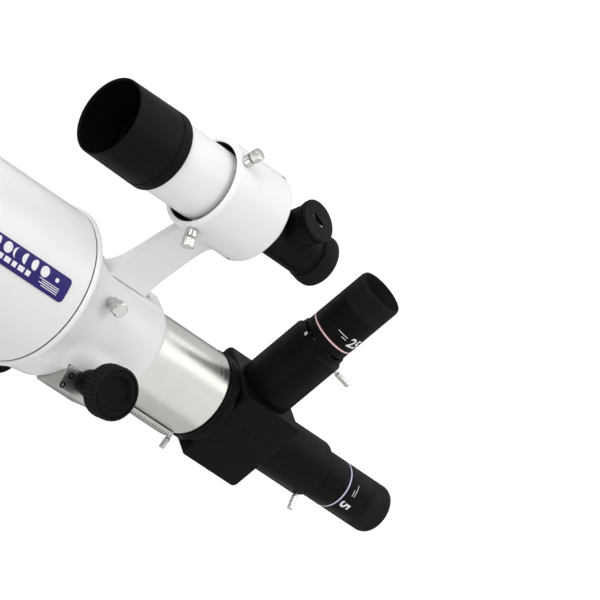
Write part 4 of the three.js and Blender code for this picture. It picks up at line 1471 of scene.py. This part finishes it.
class TELESCOPE_OT_eyepieces(bpy.types.Operator):
    """Builds both eyepieces with their rings, numerals, rubber cups and lenses"""

    bl_idname = "telescope.eyepieces"
    bl_label = "Eyepieces"

    def execute(self, context):
        side = side_port_place() @ Matrix.Translation((0, 0, SIDE_PORT_END * MM))
        back = flip_plane() @ Matrix.Translation((REAR_PORT_END * MM, 0, 0)) @ TURN_TO_X
        self.eyepiece("eyepiece_25", side, 34.3, 53.0, 17.8, "red_ink", 8.3)
        self.eyepiece("eyepiece_5", back, 47.3, 66.2, 17.8, "blue_ink", 22.8)
        return {"FINISHED"}

    def eyepiece(self, label, place, top, end, shoulder, ring_ink, ring_z):
        radius = 17.8
        barrel = rounded([(-28, 14.2), (-28, 15.87), (-16, 15.87), (-15.5, 15.3), (-12, 15.3),
                          (-11.5, 15.87), (0, 15.87), (0, 14.2)], 0.25)
        piece(f"{label}_tube", lathe(barrel, place, 120), "nickel", label, (f"{label}_barrel",))
        body = [(0.3, 11), (0.3, shoulder - 0.8), (1.4, shoulder)]
        if shoulder > radius:
            body += [(3.4, shoulder - 0.4), (6.6, radius)]
        body += [(ring_z - 0.9, radius), (ring_z - 0.6, radius - 0.25),
                 (ring_z + 0.6, radius - 0.25), (ring_z + 0.9, radius), (top + 0.12, radius),
                 (top + 0.12, 11)]
        piece(f"{label}_housing", lathe(rounded(body, 0.25), place), "anodised", label,
              (f"{label}_body",))
        for name, low, high, lift, ink in (("ring_edge", -0.85, 0.85, 0.02, ring_ink),
                                           ("ring_line", -0.35, 0.35, 0.05, "ink")):
            band = [(ring_z + low, radius - 0.6), (ring_z + low, radius + lift),
                    (ring_z + high, radius + lift), (ring_z + high, radius - 0.6)]
            piece(f"{label}_{name}", lathe(band, place), ink, label)
        cup = [(top + 0.18, 11), (top + 0.18, radius - 0.05), (top + 0.9, radius),
               (end - 2.2, radius), (end - 0.3, radius - 0.7), (end, radius - 1.2),
               (end - 0.4, radius - 1.7), (end - 9, 14.2), (top + 2.4, 11)]
        piece(f"{label}_rubber", lathe(rounded(cup, 0.5), place), "rubber", label,
              (f"{label}_eyecup",))
        lens = [(top - 5, 0), (top - 4.4, 6), (top - 3.6, 10.7), (top - 1.3, 10.7),
                (top - 0.3, 6), (top, 0)]
        piece(f"{label}_glass", lathe(lens, place, 72), "glass", label, (f"{label}_eye_lens",))
        number = label.rsplit("_", 1)[1]
        marks = []
        if number == "25":
            turn, lift, height = 163, 8.4, 11
        else:
            turn, lift, height = 178, 7.0, 12
        marks.append(numeral(number, height, place, radius, ring_z + lift,
                             radius * radians(turn)))
        for i, reach in enumerate((9, 4.5)):
            z = ring_z + lift + 1.4 - 2.0 * i
            s = radius * radians(turn + 42 - 8 * i)
            marks.append(bent_patch(lambda _s, q=z: (q, q + 0.45), s - reach / 2, s + reach / 2,
                                    radius + 0.02, place, 0.06))
        piece(f"{label}_numerals", joined(marks), "ink", label)


RING_R = 66
RING_HINGE_Y = 73                 # hinge pin, on the far side
RING_BOLT_Y = 77                  # knob's bolt, on the near side
KNUCKLE_R = 6
EAR_ROOT = -60.5                  # where ears, knuckles and foot leave the ring
EAR_HEIGHT = 9


class TELESCOPE_OT_tube_rings(bpy.types.Operator):
    """Builds the hinged tube rings, their knobs and the dovetail plate"""

    bl_idname = "telescope.tube_rings"
    bl_label = "Tube rings"

    def execute(self, context):
        for side in ("front", "rear"):
            for part in ("lower", "upper"):
                name = f"tube_ring_{side}_{part}"
                self.ring(name, part)
            knob = [(-23.6, 0), (-23.6, 2.4), (-5.4, 2.4), (-5.4, 6.4), (-4.4, 8), (5.6, 8),
                    (7, 6.6), (7, 0)]
            piece(f"tube_ring_{side}_thumb_knob",
                  lathe(rounded(knob, 0.5), at_joint(f"ring_{side}_knob_turn"), 192, 24, 0.6,
                        (-4.2, 5.2)), "anodised", f"ring_{side}_knob",
                  (f"tube_ring_{side}_knob",), 45)

        low, high = (Vector(v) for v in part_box("dovetail_plate"))
        length = (high.x - low.x) / MM
        height = (high.z - low.z) / MM
        wide = (high.y - low.y) / MM / 2
        place = Matrix.Translation((low.x, 0, low.z))
        sections = []
        for x, inset in ((0, 0.7), (0.2, 0.2), (0.7, 0), (length - 0.7, 0),
                         (length - 0.2, 0.2), (length, 0.7)):
            narrow = wide - 5.5
            outline = [(-wide + 1 + inset, inset), (wide - 1 - inset, inset),
                       (wide - inset, inset + 0.8), (narrow - inset, height - 0.8 - inset),
                       (narrow - 1 - inset, height - inset), (-narrow + 1 + inset, height - inset),
                       (-narrow + inset, height - 0.8 - inset), (-wide + inset, inset + 0.8)]
            sections.append([(x, y, z) for y, z in outline])
        plate = loft(sections, place)
        centre = length / 2
        slot = slab(centre - 45, centre + 45, -3.3, 3.3, -1, 6.5, place, 3.2, 0.2)
        plate = combine(plate, [slot], "DIFFERENCE")
        piece("dovetail_bar", plate, "alloy", "optical_tube", ("dovetail_plate",), 30)
        return {"FINISHED"}

    def ring(self, name, part):
        """A ring half keeps its working outline and gets softened edges."""
        low, high = (Vector(v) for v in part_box(name))
        centre_x = (low.x + high.x) / 2
        half = (high.x - low.x) / MM / 2
        bore = TUBE_R + 0.5
        here = Matrix.Translation((centre_x, 0, AXIS_Z))
        band = rounded([(-half, bore), (-half, RING_R - 1.4), (-half + 1.6, RING_R),
                        (half - 1.6, RING_R), (half, RING_R - 1.4), (half, bore)], 0.8)
        sign = 1 if part == "upper" else -1
        z0, z1 = sorted((sign * GAP / 2, sign * 95))
        keep = slab(-20, 20, -100, 100, z0, z1, here, 1, 0.01)
        body = combine(lathe(band, here @ TURN_TO_X, LARGE), [keep], "INTERSECT")
        ear0, ear1 = sorted((sign * GAP / 2, sign * EAR_HEIGHT))
        extras = [slab(-half + 0.2, half - 0.2, -84, EAR_ROOT, ear0, ear1, here, 4, 0.6)]
        hinge = Matrix.Translation((centre_x, RING_HINGE_Y * MM, AXIS_Z)) @ TURN_TO_X
        if part == "upper":
            extras.append(slab(-4.6, 4.6, -EAR_ROOT, RING_HINGE_Y, GAP / 2, KNUCKLE_R, here, 0.8,
                               0.2))
            knuckle = [(-4.6, 2.6), (-4.6, KNUCKLE_R), (4.6, KNUCKLE_R), (4.6, 2.6)]
            extras.append(lathe(rounded(knuckle, 0.3), hinge, 72))
        else:
            for x0, x1 in ((5, half), (-half, -5)):
                extras.append(slab(x0, x1, -EAR_ROOT, RING_HINGE_Y, -KNUCKLE_R, -GAP / 2, here, 0.8,
                                   0.2))
            foot_low = (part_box(name)[0][2] - AXIS_Z) / MM
            extras.append(slab(-half, half, -20, 20, foot_low, EAR_ROOT, here, 2, 0.5))
            for x0, x1 in ((5, half), (-half, -5)):
                knuckle = [(x0, 0), (x0, KNUCKLE_R), (x1, KNUCKLE_R), (x1, 0)]
                extras.append(lathe(rounded(knuckle, 0.3), hinge, 72))
            extras.append(drill(-5.5, 5.5, 2.3, hinge))
        body = combine(body, extras, "UNION")
        bolt = Matrix.Translation((centre_x, -RING_BOLT_Y * MM, AXIS_Z))
        cutters = [drill(-20, 20, 2.7 if part == "upper" else 4, bolt)]
        if part == "upper":
            cutters.append(drill(-9, 9, 2.6, hinge))
        body = combine(body, cutters, "DIFFERENCE")
        piece(f"{name}_casting", body, "enamel", body_of_node(name), (name,), 30)


OPERATORS = (
    TELESCOPE_OT_stage, TELESCOPE_OT_main_tube, TELESCOPE_OT_label, TELESCOPE_OT_focuser,
    TELESCOPE_OT_focus_knobs, TELESCOPE_OT_drawtube, TELESCOPE_OT_thumb_screws,
    TELESCOPE_OT_finder_bracket, TELESCOPE_OT_finder_scope, TELESCOPE_OT_flip_mirror,
    TELESCOPE_OT_eyepieces, TELESCOPE_OT_tube_rings,
)


class TELESCOPE_PT_panel(bpy.types.Panel):
    """Lists the telescope's pieces and finishes"""

    bl_label = "Telescope"
    bl_space_type = "VIEW_3D"
    bl_region_type = "UI"
    bl_category = "Telescope"

    def draw(self, context):
        for operator in OPERATORS:
            self.layout.operator(operator.bl_idname)
        for group in (context.scene.telescope_finishes, context.scene.telescope_sizes):
            for name in group.bl_rna.properties.keys():
                if name not in ("rna_type", "name"):
                    self.layout.prop(group, name)


CLASSES = (TelescopeFinishes, TelescopeSizes, *OPERATORS, TELESCOPE_PT_panel)


def register():
    for made in CLASSES:
        bpy.utils.register_class(made)
    bpy.types.Scene.telescope_finishes = PointerProperty(type=TelescopeFinishes)
    bpy.types.Scene.telescope_sizes = PointerProperty(type=TelescopeSizes)


def unregister():
    del bpy.types.Scene.telescope_sizes
    del bpy.types.Scene.telescope_finishes
    for made in reversed(CLASSES):
        bpy.utils.unregister_class(made)


def main():
    register()
    for operator in OPERATORS:
        group, name = operator.bl_idname.split(".")
        getattr(getattr(bpy.ops, group), name)()


if __name__ == "__main__":
    main()
